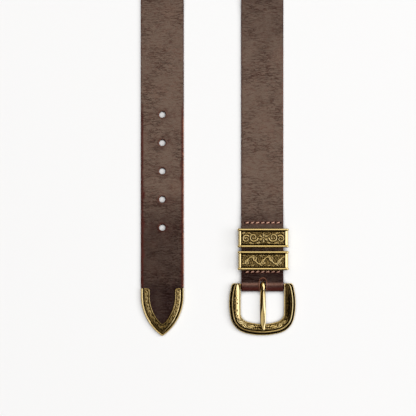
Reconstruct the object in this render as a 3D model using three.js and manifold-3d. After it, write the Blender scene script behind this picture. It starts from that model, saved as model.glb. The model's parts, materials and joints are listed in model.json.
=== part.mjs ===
// A leather trouser belt with a cast brass western set: a D-shaped buckle with its tongue, two keepers
// and a pointed tip. The belt lies on a table, grain side up at both ends, with the two ends side by side.
// Its middle rolls up onto its edge and goes round in one plain bend. Millimetres, +Z up, +Y from the ends
// towards the bend. The layout is written from the buckle's bar (Y = 0) and from the line midway between
// the two strands (X = 0), and the whole group is then moved to the middle of its footprint.
import * as THREE from "three";
import { mergeVertices } from "three/addons/utils/BufferGeometryUtils.js";
import Module from "manifold-3d";

// Layout
const STRAND_X = 44.55; // from the midline to each strand's centre
const VISIBLE_Y = 255.7; // from the bar to where both strands start to leave the table
const LOOP_LENGTH = 456; // of strap between those two places, for a belt of waist size 34 inches
const TIP_POINT_Y = -44.3; // the tip's point, beside the buckle's front rail

// Strap
const HALF_WIDTH = 18.75; // at the buckle
const EXTRA_HALF_WIDTH = 0.35; // gained by the time it gets to the tip
const WIDENING_START = -150; // strap lengths past VISIBLE_Y, between which it is gained
const WIDENING_END = 350;
const THICKNESS = 3.0;
const FOLD_THICKNESS = 2.2; // pared down where it turns round the bar and lies underneath
const PARED_END_THICKNESS = 0.8;
const EDGE_CHAMFER = 0.6;
const TURNED_BACK_Y = 62; // where the turned-back layer ends
const TURNED_BACK_INSET = 0.3;
const TURNED_BACK_LAYER = [ // pared thin from its end, then even up to the fold
  { y: TURNED_BACK_Y, thickness: PARED_END_THICKNESS },
  { y: 57, thickness: 1.5 },
  { y: 51, thickness: FOLD_THICKNESS },
  { y: 6, thickness: FOLD_THICKNESS },
];
const FOLD_STEPS = 12;
const HOLE_RADIUS = 2.9;
const HOLE_COUNT = 5;
const HOLE_PITCH = 25.2;
const HOLE_SIDES = 24;
const FIRST_HOLE_FROM_POINT = 96.9;
const SLOT_SHIFT_X = 0.45; // the slot and the tongue stand a little to one side
const SLOT_HALF_WIDTH = 2.6;
const SLOT_END_Y = 6.3; // clear of the lifted tongue, in both layers

// How the middle of the strap rolls up and goes round
const ROLL_START = -20; // strap lengths past VISIBLE_Y
const ROLL_END = 155;
const BULGE_TURN = THREE.MathUtils.degToRad(10); // how far each strand first swings outwards
const BULGE_START = 30;
const BULGE_END = 120;
const BEND_START = 112.6;
const BEND_EASE = 40;
const PATH_STEP = 0.5;

// Bar and tongue
const BAR_RADIUS = 2.0;
const RUNNING_GAP = 0.3;
const LAYER_GAP = 0.28; // between leather and the metal that it lies against
const BAR_Z = RUNNING_GAP + BAR_RADIUS + FOLD_THICKNESS; // the fold's underside is on the table
const FOLD_MID_RADIUS = BAR_RADIUS + RUNNING_GAP + FOLD_THICKNESS / 2;
const TONGUE_RING_RADIUS = 4.15;
const TONGUE_RING_HALF_WIDTH = 2.0;
const TONGUE_RING_CHAMFER = 0.4;

// Buckle frame. x is across the belt, v runs from the bar to the front rail, h is height over the base.
const FRAME_BASE_BELOW_BAR = 2.0;
const FRAME_LENGTH = 43.5; // bar to the front of the rail
const FRAME_BACK = -2.5; // the arms end a little behind the bar
const FRAME_ARCH = 0.8;
const OUTER = { halfWidth: 29.7, widestV: 15, sideRadius: 60, cornerRadius: 18, railRadius: 60 };
const INNER = { halfWidth: 19.3, frontV: 33.5, cornerRadius: 8, railRadius: 44 };
const FRAME_TILT = Math.asin((BAR_Z - FRAME_BASE_BELOW_BAR) / FRAME_LENGTH);

// Keepers
const KEEPER_LENGTH = 16.8; // along the strap
const KEEPER_Y = { keeper_lower: 23.3, keeper_upper: 43.3 };
const KEEPER_SHIFT_X = 0.55; // both sit a little to one side on the strap
const KEEPER_HALF_WIDTH = 22.0; // of the band, without its beads
const KEEPER_CORNER = 1.2;
const KEEPER_INNER_CORNER = 0.6;
const KEEPER_WALL = 1.4;
const KEEPER_BACK_Z = FOLD_THICKNESS + LAYER_GAP;
const KEEPER_BACK_THICKNESS = 1.2;
const KEEPER_BACK_LENGTH = 9;
const KEEPER_ROOM = 8.75; // inside height: the strap and the free end with its tip
const KEEPER_FACE_THICKNESS = 1.8;
const BEAD_RADIUS = 1.05;
const BEAD_INSET = 0.35; // how deep a bead's centre lies under the band's surface
const BEAD_END_HEIGHT = 1.6; // how far over the back the beads end
const PANEL_DEPTH = 0.6;
const PANEL_HALF_WIDTH = 19.25;
const PANEL_HALF_LENGTH = 5.9;

// Tip. h is height over the point, along the strap.
const TIP = { halfWidth: 19.05, straightFrom: 36, length: 42.6, pointRounding: 0.3 };
const WINDOW = { halfWidth: 11.15, straightFrom: 36, point: 9.9, pointRounding: 1.1 };
const WINDOW_CORNER = 2.2; // rounds each leg's end towards the window
const TIP_WALL = 1.0;
const TIP_BACK_THICKNESS = 0.8;
const TIP_LEATHER_THICKNESS = 2.4;
const TIP_FACE_Z = TIP_BACK_THICKNESS + TIP_LEATHER_THICKNESS + 2 * LAYER_GAP;

const leather = new THREE.MeshStandardMaterial({ color: 0x5b463c, roughness: 0.55, metalness: 0 });
const brass = new THREE.MeshStandardMaterial({ color: 0xa08a4c, roughness: 0.35, metalness: 1 });

const wasm = await Module();
wasm.setup();

// A closed geometry as a solid that can be joined and cut.
function solid(geometry) {
  const bare = geometry.clone();
  bare.deleteAttribute("normal");
  bare.deleteAttribute("uv");
  const merged = mergeVertices(bare, 1e-4);
  const triVerts = new Uint32Array(merged.index.array);
  const vertProperties = merged.attributes.position.array;
  return new wasm.Manifold(new wasm.Mesh({ numProp: 3, vertProperties, triVerts }));
}

function geometryOf(body) {
  const mesh = body.getMesh();
  const position = new THREE.BufferAttribute(new Float32Array(mesh.vertProperties), mesh.numProp);
  const geometry = new THREE.BufferGeometry().setAttribute("position", position);
  geometry.setIndex(new THREE.BufferAttribute(mesh.triVerts, 1));
  geometry.computeVertexNormals();
  return geometry;
}

function meshOf(name, geometry, material) {
  const mesh = new THREE.Mesh(geometry, material);
  mesh.name = name;
  return mesh;
}

function joined(bodies) {
  return bodies.reduce((whole, body) => whole.add(body));
}

function smooth(u) {
  const t = THREE.MathUtils.clamp(u, 0, 1);
  return t * t * (3 - 2 * t);
}

// Reads a table of rows at x, easing in and out between one row and the next.
function eased(rows, column, x) {
  if (x <= rows[0].y) return rows[0][column];
  for (let i = 1; i < rows.length; i++) {
    const [a, b] = [rows[i - 1], rows[i]];
    if (x <= b.y) return a[column] + (b[column] - a[column]) * smooth((x - a.y) / (b.y - a.y));
  }
  return rows.at(-1)[column];
}

// Skins a row of rings of points, each the same outline, and closes both ends with that outline.
function loft(rings, outline) {
  const count = outline.length;
  const position = rings.flat().flatMap((p) => [p.x, p.y, p.z]);
  const index = [];
  for (let i = 0; i + 1 < rings.length; i++) {
    for (let j = 0; j < count; j++) {
      const k = (j + 1) % count;
      const [a, b, c, d] = [i * count + j, i * count + k, (i + 1) * count + k, (i + 1) * count + j];
      index.push(a, b, c, a, c, d);
    }
  }
  const last = (rings.length - 1) * count;
  for (const [a, b, c] of THREE.ShapeUtils.triangulateShape(outline, [])) {
    index.push(c, b, a, last + a, last + b, last + c);
  }
  const geometry = new THREE.BufferGeometry();
  geometry.setAttribute("position", new THREE.Float32BufferAttribute(position, 3));
  geometry.setIndex(index);
  return THREE.ShapeUtils.isClockWise(outline) ? flipped(geometry) : geometry;
}

function flipped(geometry) {
  const index = Array.from(geometry.index.array);
  for (let i = 0; i < index.length; i += 3) {
    [index[i + 1], index[i + 2]] = [index[i + 2], index[i + 1]];
  }
  geometry.setIndex(index);
  return geometry;
}

// A raised cord-like ridge of diamond section along points. place(point, side, up) gives the real place.
function ridge(points, halfWidth, height, place) {
  const outline = [
    new THREE.Vector2(-halfWidth, 0),
    new THREE.Vector2(0, -height),
    new THREE.Vector2(halfWidth, 0),
    new THREE.Vector2(0, height),
  ];
  const rings = points.map((p, i) => {
    const before = points[Math.max(i - 1, 0)];
    const after = points[Math.min(i + 1, points.length - 1)];
    const side = new THREE.Vector2(before.y - after.y, after.x - before.x).normalize();
    return outline.map((o) => place(p.x + side.x * o.x, p.y + side.y * o.x, o.y));
  });
  return oriented(loft(rings, outline));
}

// A raised leaf: a long low double pyramid whose long axis points along angle.
function leaf(x, y, angle, length, width, height, place) {
  const geometry = new THREE.OctahedronGeometry(1);
  geometry.scale(length / 2, width / 2, height);
  geometry.rotateZ(angle);
  const position = geometry.attributes.position;
  for (let i = 0; i < position.count; i++) {
    const p = place(x + position.getX(i), y + position.getY(i), position.getZ(i));
    position.setXYZ(i, p.x, p.y, p.z);
  }
  return oriented(geometry);
}

// A solid whose faces point outwards, whichever way its geometry was wound.
function oriented(geometry) {
  const body = solid(geometry);
  return body.volume() > 0 ? body : solid(flipped(mergeVertices(positionsOnly(geometry), 1e-4)));
}

function positionsOnly(geometry) {
  const bare = new THREE.BufferGeometry().setAttribute("position", geometry.attributes.position);
  return bare.setIndex(geometry.index);
}

// The hidden half of the loop seen from above, as places every PATH_STEP of strap. Its heading starts along
// +Y, swings outwards by BULGE_TURN and then turns inwards at a steady rate until it runs across the belt.
function loopPlan() {
  const half = LOOP_LENGTH / 2;
  const count = Math.round(half / PATH_STEP);
  const middles = Array.from({ length: count }, (_, i) => (i + 0.5) * PATH_STEP);
  const inward = middles.map((s) => smooth((s - BEND_START) / BEND_EASE));
  const inwardTotal = inward.reduce((sum, k) => sum + k * PATH_STEP, 0);
  const bulge = (2 * BULGE_TURN) / (BULGE_END - BULGE_START);
  let heading = 0;
  const plan = [{ x: STRAND_X, y: VISIBLE_Y, heading: 0 }];
  for (let i = 0; i < count; i++) {
    const u = (middles[i] - BULGE_START) / (BULGE_END - BULGE_START);
    const outward = u > 0 && u < 1 ? bulge * Math.sin(Math.PI * u) ** 2 : 0;
    const turn = (outward - (inward[i] * (Math.PI / 2 + BULGE_TURN)) / inwardTotal) * PATH_STEP;
    const middleHeading = heading + turn / 2;
    heading += turn;
    const last = plan[i];
    plan.push({
      x: last.x + Math.sin(middleHeading) * PATH_STEP,
      y: last.y + Math.cos(middleHeading) * PATH_STEP,
      heading,
    });
  }
  const miss = plan[count].x; // what is left over is spread along the curve, so that the halves meet
  plan.forEach((p, i) => (p.x -= (miss * i) / count));
  return plan;
}

const plan = loopPlan();

// The strap's middle height and thickness along the buckle's strand, by distance from the bar.
const KEEPER_RIDE_Z = KEEPER_BACK_Z + KEEPER_BACK_THICKNESS + LAYER_GAP + THICKNESS / 2;
const BUCKLE_STRAND = [
  { y: 0, z: BAR_Z + FOLD_MID_RADIUS, thickness: FOLD_THICKNESS },
  { y: 12, z: 3.75, thickness: 2.9 },
  { y: 13.9, z: 3.8, thickness: THICKNESS },
  { y: 17.8, z: KEEPER_RIDE_Z, thickness: THICKNESS },
  { y: 48.8, z: KEEPER_RIDE_Z, thickness: THICKNESS },
  { y: 54.5, z: 3.8, thickness: THICKNESS },
  { y: 58.5, z: 3.8, thickness: THICKNESS },
  { y: 80, z: THICKNESS / 2, thickness: THICKNESS },
];
// The same along the tip's strand, by distance from the tip's point.
const TIP_MOUTH_Z = TIP_BACK_THICKNESS + LAYER_GAP + TIP_LEATHER_THICKNESS;
const TIP_STRAND = [
  { y: TIP.length + 0.5, z: TIP_MOUTH_Z - THICKNESS / 2 },
  { y: 95, z: THICKNESS / 2 },
];

// One place along the strap. s is the length of strap past VISIBLE_Y on the buckle's strand.
function station(s) {
  const fromEdge = Math.min(s, LOOP_LENGTH - s);
  const side = s < LOOP_LENGTH / 2 ? 1 : -1;
  const widening = smooth((s - WIDENING_START) / (WIDENING_END - WIDENING_START));
  const halfWidth = HALF_WIDTH + EXTRA_HALF_WIDTH * widening;
  let at = { x: STRAND_X, y: VISIBLE_Y + fromEdge, heading: 0 };
  if (fromEdge > 0) {
    at = plan[Math.round(fromEdge / PATH_STEP)];
  }
  const roll = (Math.PI / 2) * smooth((fromEdge - ROLL_START) / (ROLL_END - ROLL_START));
  const onBuckleStrand = side > 0;
  const y = onBuckleStrand ? at.y : at.y - TIP_POINT_Y;
  const flatZ = eased(onBuckleStrand ? BUCKLE_STRAND : TIP_STRAND, "z", y);
  const thickness = onBuckleStrand ? eased(BUCKLE_STRAND, "thickness", y) : THICKNESS;
  const z = flatZ + halfWidth * Math.sin(roll) + (thickness / 2) * (Math.cos(roll) - 1);
  return { x: side * at.x, y: at.y, z, heading: at.heading, side, roll, halfWidth, thickness };
}

const OCTAGON = [
  [-1, -1, 1, 0],
  [1, -1, -1, 0],
  [1, -1, 0, 1],
  [1, 1, 0, -1],
  [1, 1, -1, 0],
  [-1, 1, 1, 0],
  [-1, 1, 0, -1],
  [-1, -1, 0, 1],
];

// The strap's cross-section, a rectangle with its four edges taken off.
function strapOutline(halfWidth, thickness) {
  const chamfer = Math.min(EDGE_CHAMFER, thickness * 0.25, halfWidth * 0.4);
  return OCTAGON.map(
    ([a, b, da, db]) => new THREE.Vector2(a * halfWidth + da * chamfer, (b * thickness) / 2 + db * chamfer),
  );
}

function ringAt(centre, across, up, halfWidth, thickness) {
  return strapOutline(halfWidth, thickness).map((o) =>
    centre.clone().addScaledVector(across, o.x).addScaledVector(up, o.y),
  );
}

// The rings of the turned-back layer and the fold, which lie square to the table.
function foldRings() {
  const across = new THREE.Vector3(1, 0, 0);
  const down = new THREE.Vector3(0, 0, -1);
  const rings = [];
  for (const { y, thickness } of TURNED_BACK_LAYER) {
    const centre = new THREE.Vector3(STRAND_X, y, thickness / 2);
    rings.push(ringAt(centre, across, down, HALF_WIDTH - TURNED_BACK_INSET, thickness));
  }
  for (let i = 0; i <= FOLD_STEPS; i++) {
    const angle = -Math.PI / 2 - (Math.PI * i) / FOLD_STEPS;
    const up = new THREE.Vector3(0, Math.cos(angle), Math.sin(angle));
    const centre = new THREE.Vector3(STRAND_X, 0, BAR_Z).addScaledVector(up, FOLD_MID_RADIUS);
    const halfWidth = HALF_WIDTH - TURNED_BACK_INSET * (1 - i / FOLD_STEPS);
    rings.push(ringAt(centre, across, up, halfWidth, FOLD_THICKNESS));
  }
  return rings;
}

// Evenly spaced numbers from one to another, at most step apart, without the last one.
function spaced(from, to, step) {
  const count = Math.ceil((to - from) / step);
  return Array.from({ length: count }, (_, i) => from + ((to - from) * i) / count);
}

// The strap lengths at which rings are put: close together where the strap changes, few where it is flat.
function stationLengths() {
  const lengths = [];
  for (let i = 0; i + 1 < BUCKLE_STRAND.length; i++) {
    const [a, b] = [BUCKLE_STRAND[i], BUCKLE_STRAND[i + 1]];
    const changes = a.z !== b.z || a.thickness !== b.thickness;
    lengths.push(...spaced(a.y, b.y, changes ? 2.4 : 50).map((y) => y - VISIBLE_Y));
  }
  lengths.shift(); // the fold has already made the first one
  const end = LOOP_LENGTH + VISIBLE_Y - TIP_POINT_Y;
  const [mouth, flat] = TIP_STRAND.map((row) => end - row.y);
  lengths.push(...spaced(BUCKLE_STRAND.at(-1).y - VISIBLE_Y, ROLL_START, 60));
  lengths.push(...spaced(ROLL_START, LOOP_LENGTH - ROLL_START, 7.1));
  lengths.push(...spaced(LOOP_LENGTH - ROLL_START, flat, 60));
  lengths.push(...spaced(flat, mouth, 8), mouth);
  return lengths;
}

// Half of the tip's outline at a height over its point, set in evenly: an ogive that ends in straight sides.
function tipHalfWidth(h, inset) {
  const { halfWidth, straightFrom } = TIP;
  const radius = (straightFrom ** 2 + halfWidth ** 2) / (2 * halfWidth);
  const below = Math.max(straightFrom - h, 0);
  return Math.sqrt((radius - inset) ** 2 - below ** 2) - (radius - halfWidth);
}

// The rings inside the tip, trimmed to its outline and pared thinner.
function tipRings() {
  const across = new THREE.Vector3(-1, 0, 0);
  const up = new THREE.Vector3(0, 0, 1);
  const z = TIP_MOUTH_Z - TIP_LEATHER_THICKNESS / 2;
  const heights = [TIP.length + 0.25, 36, 32, 28, 24, 20, 16, 12, 8, 5, 3.5];
  return heights.map((h) => {
    const centre = new THREE.Vector3(-STRAND_X, TIP_POINT_Y + h, z);
    return ringAt(centre, across, up, tipHalfWidth(h, TIP_WALL + RUNNING_GAP), TIP_LEATHER_THICKNESS);
  });
}

function strapGeometry() {
  const rings = foldRings();
  for (const s of stationLengths()) {
    const at = station(s);
    const slope = (station(s + PATH_STEP).z - station(s - PATH_STEP).z) / (2 * PATH_STEP);
    const along = new THREE.Vector3(Math.sin(at.heading), at.side * Math.cos(at.heading), slope).normalize();
    const outward = new THREE.Vector3(at.side * Math.cos(at.heading), -Math.sin(at.heading), 0);
    const grain = new THREE.Vector3(0, 0, Math.cos(at.roll)).addScaledVector(outward, Math.sin(at.roll));
    const across = new THREE.Vector3().crossVectors(along, grain).normalize();
    const up = new THREE.Vector3().crossVectors(across, along);
    rings.push(ringAt(new THREE.Vector3(at.x, at.y, at.z), across, up, at.halfWidth, at.thickness));
  }
  rings.push(...tipRings());
  let body = oriented(loft(rings, strapOutline(HALF_WIDTH, THICKNESS)));
  for (let i = 0; i < HOLE_COUNT; i++) {
    const punch = new THREE.CylinderGeometry(HOLE_RADIUS, HOLE_RADIUS, 4 * THICKNESS, HOLE_SIDES);
    punch.rotateX(Math.PI / 2);
    punch.translate(-STRAND_X, TIP_POINT_Y + FIRST_HOLE_FROM_POINT + i * HOLE_PITCH, THICKNESS / 2);
    body = body.subtract(solid(punch));
  }
  return geometryOf(body.subtract(slotCutter()));
}

// What is cut out for the slot: from in front of the fold to a rounded end, right through both layers.
function slotCutter() {
  const front = -2 * BAR_Z;
  const depth = 4 * BAR_Z;
  const roundY = SLOT_END_Y - SLOT_HALF_WIDTH;
  const box = new THREE.BoxGeometry(2 * SLOT_HALF_WIDTH, roundY - front, depth);
  box.translate(STRAND_X + SLOT_SHIFT_X, (roundY + front) / 2, BAR_Z);
  const round = new THREE.CylinderGeometry(SLOT_HALF_WIDTH, SLOT_HALF_WIDTH, depth, HOLE_SIDES);
  round.rotateX(Math.PI / 2).translate(STRAND_X + SLOT_SHIFT_X, roundY, BAR_Z);
  return solid(box).add(solid(round));
}

// The arc radii meet where the corner circle touches both the side or rail circle and its neighbour.
function outerCorner() {
  const { halfWidth, widestV, sideRadius, cornerRadius, railRadius } = OUTER;
  const rail = new THREE.Vector2(0, FRAME_LENGTH - railRadius);
  const sideCentre = new THREE.Vector2(halfWidth - sideRadius, widestV);
  const [toRail, toSide] = [railRadius - cornerRadius, sideRadius - cornerRadius];
  const apart = sideCentre.clone().sub(rail);
  const distance = apart.length();
  const along = (toRail ** 2 - toSide ** 2 + distance ** 2) / (2 * distance);
  const off = Math.sqrt(toRail ** 2 - along ** 2);
  const u = apart.normalize();
  const corner = rail.clone().addScaledVector(u, along).add(new THREE.Vector2(u.y, -u.x).multiplyScalar(off));
  if (corner.x < 0) {
    corner.copy(rail).addScaledVector(u, along).add(new THREE.Vector2(-u.y, u.x).multiplyScalar(off));
  }
  return { rail, sideCentre, corner };
}

// Points from the arm's back end to the middle of the front rail, for the frame's outer and inner outlines.
// Each is three stretches, side, corner and rail, and the two outlines are matched stretch by stretch.
function frameOutlines(sideSteps, cornerSteps, railSteps) {
  const { rail, sideCentre, corner } = outerCorner();
  const bearing = (from, to) => Math.atan2(to.y - from.y, to.x - from.x);
  const back = Math.asin((FRAME_BACK - sideCentre.y) / OUTER.sideRadius);
  const sideEnd = bearing(sideCentre, corner);
  const cornerEnd = bearing(rail, corner);
  const innerCorner = new THREE.Vector2(INNER.halfWidth - INNER.cornerRadius, 0);
  const innerRail = new THREE.Vector2(0, INNER.frontV - INNER.railRadius);
  innerCorner.y = innerRail.y + Math.sqrt((INNER.railRadius - INNER.cornerRadius) ** 2 - innerCorner.x ** 2);
  const innerCornerEnd = bearing(innerRail, innerCorner);
  const on = (centre, radius, angle) => ({
    x: centre.x + radius * Math.cos(angle),
    v: centre.y + radius * Math.sin(angle),
  });
  const mix = (a, b, t) => a + (b - a) * t;
  const pairs = [];
  for (let i = 0; i < sideSteps; i++) {
    const t = i / sideSteps;
    pairs.push({
      outer: on(sideCentre, OUTER.sideRadius, mix(back, sideEnd, t)),
      inner: { x: INNER.halfWidth, v: mix(FRAME_BACK, innerCorner.y, t) },
    });
  }
  for (let i = 0; i < cornerSteps; i++) {
    const t = i / cornerSteps;
    pairs.push({
      outer: on(corner, OUTER.cornerRadius, mix(sideEnd, cornerEnd, t)),
      inner: on(innerCorner, INNER.cornerRadius, mix(0, innerCornerEnd, t)),
    });
  }
  for (let i = 0; i <= railSteps; i++) {
    const t = i / railSteps;
    pairs.push({
      outer: on(rail, OUTER.railRadius, mix(cornerEnd, Math.PI / 2, t)),
      inner: on(innerRail, INNER.railRadius, mix(innerCornerEnd, Math.PI / 2, t)),
    });
  }
  return pairs;
}

// The frame's cross-section. from says which edge a distance is measured from, and lift says how much of
// the thickening at the arms' ends that height takes.
const FRAME_SECTION = [
  { from: "inner", distance: 0.4, h: 0, lift: 0 },
  { from: "outer", distance: 0.5, h: 0, lift: 0 },
  { from: "outer", distance: 0, h: 0.5, lift: 0 },
  { from: "outer", distance: 0, h: 3.9, lift: 0 },
  { from: "outer", distance: 0.35, h: 4.3, lift: 0 },
  { from: "outer", distance: 0.75, h: 4.1, lift: 0 },
  { from: "outer", distance: 1.0, h: 3.4, lift: 0 },
  { from: "outer", distance: 2.3, h: 3.6, lift: 0 },
  { from: "outer", distance: 2.6, h: 5.2, lift: 0 },
  { from: "outer", distance: 3.2, h: 5.7, lift: 0 },
  { from: "outer", distance: 3.9, h: 5.4, lift: 0 },
  { from: "outer", distance: 4.1, h: 4.9, lift: 0 },
  { from: "inner", distance: 2.8, h: 3.7, lift: 0.8 },
  { from: "inner", distance: 1.1, h: 2.5, lift: 1 },
  { from: "inner", distance: 0.7, h: 2.9, lift: 1 },
  { from: "inner", distance: 0, h: 2.5, lift: 1 },
  { from: "inner", distance: 0, h: 0.4, lift: 0 },
];
const END_LIFT = 1.3; // the arms are thicker round the bar
const END_LIFT_LENGTH = 10;
const BAND_LENGTH = 104; // along the middle of the frame's sloping band, from one arm's end to the other's
const BAND_WIDTH = 5.0;
const BAND_FROM_INNER = 1.3; // the band starts beside the lip
const BAND_FROM_OUTER = 4.3; // and ends at the ridge
const BAND_LOW = 2.55;
const BAND_HIGH = 4.75;
const BAND_PLAIN = 8; // left bare in the middle, where the tongue rests
const BAND_WAVES = 5; // on each side
const BAND_VINE_AMPLITUDE = 1.1;

// A section's table as an outline of its usual width, for closing the two ends of a loft.
function sectionOutline(section, width, heightKey) {
  return section.map((p) => new THREE.Vector2(p.from === "inner" ? p.distance : width - p.distance, p[heightKey]));
}

// Frame coordinates to the belt's: x across, v forwards, h over the base, with the arch and the tilt.
function framePlace(x, v, h) {
  const u = v / FRAME_LENGTH;
  const height = h - FRAME_BASE_BELOW_BAR + FRAME_ARCH * 4 * u * (1 - u);
  const [c, s] = [Math.cos(FRAME_TILT), Math.sin(FRAME_TILT)];
  return new THREE.Vector3(STRAND_X + x, -v * c - height * s, BAR_Z - v * s + height * c);
}

function frameRing({ outer, inner }, sign) {
  const width = Math.hypot(outer.x - inner.x, outer.v - inner.v);
  const lift = END_LIFT * smooth(1 - inner.v / END_LIFT_LENGTH);
  return FRAME_SECTION.map((p) => {
    const share = p.from === "inner" ? p.distance / width : 1 - p.distance / width;
    const x = inner.x + (outer.x - inner.x) * share;
    const v = inner.v + (outer.v - inner.v) * share;
    return framePlace(sign * x, v, p.h + p.lift * lift);
  });
}

// The whole way round the frame, from one arm's end to the other's, as pairs of outline points.
function frameWay(sideSteps, cornerSteps, railSteps) {
  const half = frameOutlines(sideSteps, cornerSteps, railSteps).map((pair) => ({ pair, sign: -1 }));
  const other = half
    .slice(0, -1)
    .reverse()
    .map(({ pair }) => ({ pair, sign: 1 }));
  return [...half, ...other];
}

// A place on the frame's sloping band: along is 0 to 1 the whole way round, across is 0 to 1 from the lip
// to the ridge, and up is height over the band.
function bandPlace(way, along, across, up) {
  const i = THREE.MathUtils.clamp(along, 0, 0.9999) * (way.length - 1);
  const [a, b] = [way[Math.floor(i)], way[Math.floor(i) + 1]];
  const t = i - Math.floor(i);
  const point = ({ pair: { outer, inner }, sign }) => {
    const width = Math.hypot(outer.x - inner.x, outer.v - inner.v);
    const share = (BAND_FROM_INNER + (width - BAND_FROM_INNER - BAND_FROM_OUTER) * across) / width;
    const lift = END_LIFT * smooth(1 - inner.v / END_LIFT_LENGTH);
    const rise = BAND_LOW + (BAND_HIGH - BAND_LOW) * across ** 0.8 + lift * (1 - across);
    return [sign * (inner.x + (outer.x - inner.x) * share), inner.v + (outer.v - inner.v) * share, rise];
  };
  const [p, q] = [point(a), point(b)];
  return framePlace(...[0, 1, 2].map((k) => p[k] + (q[k] - p[k]) * t + (k === 2 ? up : 0)));
}

function frameGeometry() {
  const outline = sectionOutline(FRAME_SECTION, OUTER.halfWidth - INNER.halfWidth, "h");
  const bodies = [oriented(loft(frameWay(6, 7, 6).map(({ pair, sign }) => frameRing(pair, sign)), outline))];
  const barLength = 2 * INNER.halfWidth + 1.6; // its ends go a little way into both arms
  const bar = new THREE.CylinderGeometry(BAR_RADIUS, BAR_RADIUS, barLength, 20);
  bar.rotateZ(Math.PI / 2).translate(STRAND_X, 0, BAR_Z);
  bodies.push(solid(bar));
  const way = frameWay(12, 14, 12);
  for (const reversed of [false, true]) {
    const place = (x, y, up) => {
      const along = x / BAND_LENGTH;
      return bandPlace(way, reversed ? 1 - along : along, 0.5 + y / BAND_WIDTH, up);
    };
    bodies.push(...vine((BAND_LENGTH - BAND_PLAIN) / 2, BAND_WAVES, BAND_VINE_AMPLITUDE, place, 7));
  }
  return geometryOf(joined(bodies));
}

// A running vine: a waving stem of one height and half width, with a leaf across each bend.
const VINE_STEM = 0.4;
const VINE_LEAF_WIDTH = 1.2;
const VINE_LEAF_HEIGHT = 0.45;

function vine(length, waves, amplitude, place, stepsPerWave) {
  const margin = length / waves / 4;
  const steps = waves * stepsPerWave;
  const stem = Array.from({ length: steps + 1 }, (_, i) => {
    const x = margin + ((length - 2 * margin) * i) / steps;
    return new THREE.Vector2(x, amplitude * Math.sin((2 * Math.PI * waves * x) / length));
  });
  const bodies = [ridge(stem, VINE_STEM, VINE_STEM, place)];
  const halfWave = length / waves / 2;
  for (let i = 1; i < 2 * waves - 1; i++) {
    const x = halfWave * (i + 0.5);
    const side = i % 2 ? -1 : 1;
    const [leafX, leafY] = [x + 0.25 * halfWave, -0.65 * side * amplitude];
    const leafLength = 0.85 * halfWave;
    bodies.push(leaf(leafX, leafY, -0.5 * side, leafLength, VINE_LEAF_WIDTH, VINE_LEAF_HEIGHT, place));
  }
  return bodies;
}

// The tongue. Distances run forwards from the bar, heights over the bar's centre, in the frame's tilt.
const TONGUE_SECTIONS = [
  { v: -4.65, low: 0.4, high: 1.6, halfWidth: 0.8 },
  { v: -4.2, low: 0, high: 3.2, halfWidth: 1.3 },
  { v: -3.2, low: 0, high: 4.7, halfWidth: 1.7 },
  { v: -1.6, low: 0.5, high: 5.7, halfWidth: 1.95 },
  { v: 0, low: 1.4, high: 6.0, halfWidth: 2.05 },
  { v: 2, low: 0.9, high: 5.6, halfWidth: 2.15 },
  { v: 4, low: 0.45, high: 4.8, halfWidth: 2.1 },
  { v: 6.5, low: 0.3, high: 4.35, halfWidth: 2.3 },
  { v: 10, low: 0.45, high: 4.4, halfWidth: 2.5 },
  { v: 15, low: 0.85, high: 4.1, halfWidth: 2.6 },
  { v: 21, low: 1.4, high: 4.2, halfWidth: 2.6 },
  { v: 27, low: 1.9, high: 4.8, halfWidth: 2.5 },
  { v: 33, low: 2.2, high: 4.9, halfWidth: 2.15 },
  { v: 36.5, low: 2.55, high: 4.8, halfWidth: 1.9 },
  { v: 38.4, low: 3.2, high: 4.6, halfWidth: 1.5 },
  { v: 39.2, low: 3.5, high: 4.2, halfWidth: 0.8 },
];
// Its cross-section, flat below and rising to a blunt keel: shares of the half width and of the height.
const TONGUE_OUTLINE = [
  [-0.8, 0],
  [0.8, 0],
  [1, 0.15],
  [1, 0.5],
  [0.88, 0.64],
  [0.14, 1],
  [-0.14, 1],
  [-0.88, 0.64],
  [-1, 0.5],
  [-1, 0.15],
];

const TONGUE_X = STRAND_X + SLOT_SHIFT_X;

function tonguePlace(x, v, height) {
  const [c, s] = [Math.cos(FRAME_TILT), Math.sin(FRAME_TILT)];
  return new THREE.Vector3(TONGUE_X + x, -v * c - height * s, BAR_Z - v * s + height * c);
}

function tongueGeometry() {
  const outline = TONGUE_OUTLINE.map(([a, b]) => new THREE.Vector2(a, b));
  const rings = TONGUE_SECTIONS.map(({ v, low, high, halfWidth }) =>
    outline.map((o) => tonguePlace(o.x * halfWidth, v, low + (high - low) * o.y)),
  );
  const shaft = oriented(loft(rings, outline));
  const inner = BAR_RADIUS + RUNNING_GAP;
  const [outer, half, chamfer] = [TONGUE_RING_RADIUS, TONGUE_RING_HALF_WIDTH, TONGUE_RING_CHAMFER];
  const profile = [
    new THREE.Vector2(inner, -half),
    new THREE.Vector2(outer - chamfer, -half),
    new THREE.Vector2(outer, chamfer - half),
    new THREE.Vector2(outer, half - chamfer),
    new THREE.Vector2(outer - chamfer, half),
    new THREE.Vector2(inner, half),
    new THREE.Vector2(inner, -half),
  ];
  const ring = new THREE.LatheGeometry(profile, 24).rotateZ(Math.PI / 2).translate(TONGUE_X, 0, BAR_Z);
  const bore = new THREE.CylinderGeometry(inner, inner, 10, 24).rotateZ(Math.PI / 2);
  bore.translate(TONGUE_X, 0, BAR_Z);
  return geometryOf(shaft.subtract(solid(bore)).add(oriented(ring)));
}

// Keepers. x is across the strap from the keeper's own centre, z is over the table.
const KEEPER_INNER_Z = KEEPER_BACK_Z + KEEPER_BACK_THICKNESS;
const KEEPER_FACE_Z = KEEPER_INNER_Z + KEEPER_ROOM;
const KEEPER_TOP_Z = KEEPER_FACE_Z + KEEPER_FACE_THICKNESS;

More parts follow.
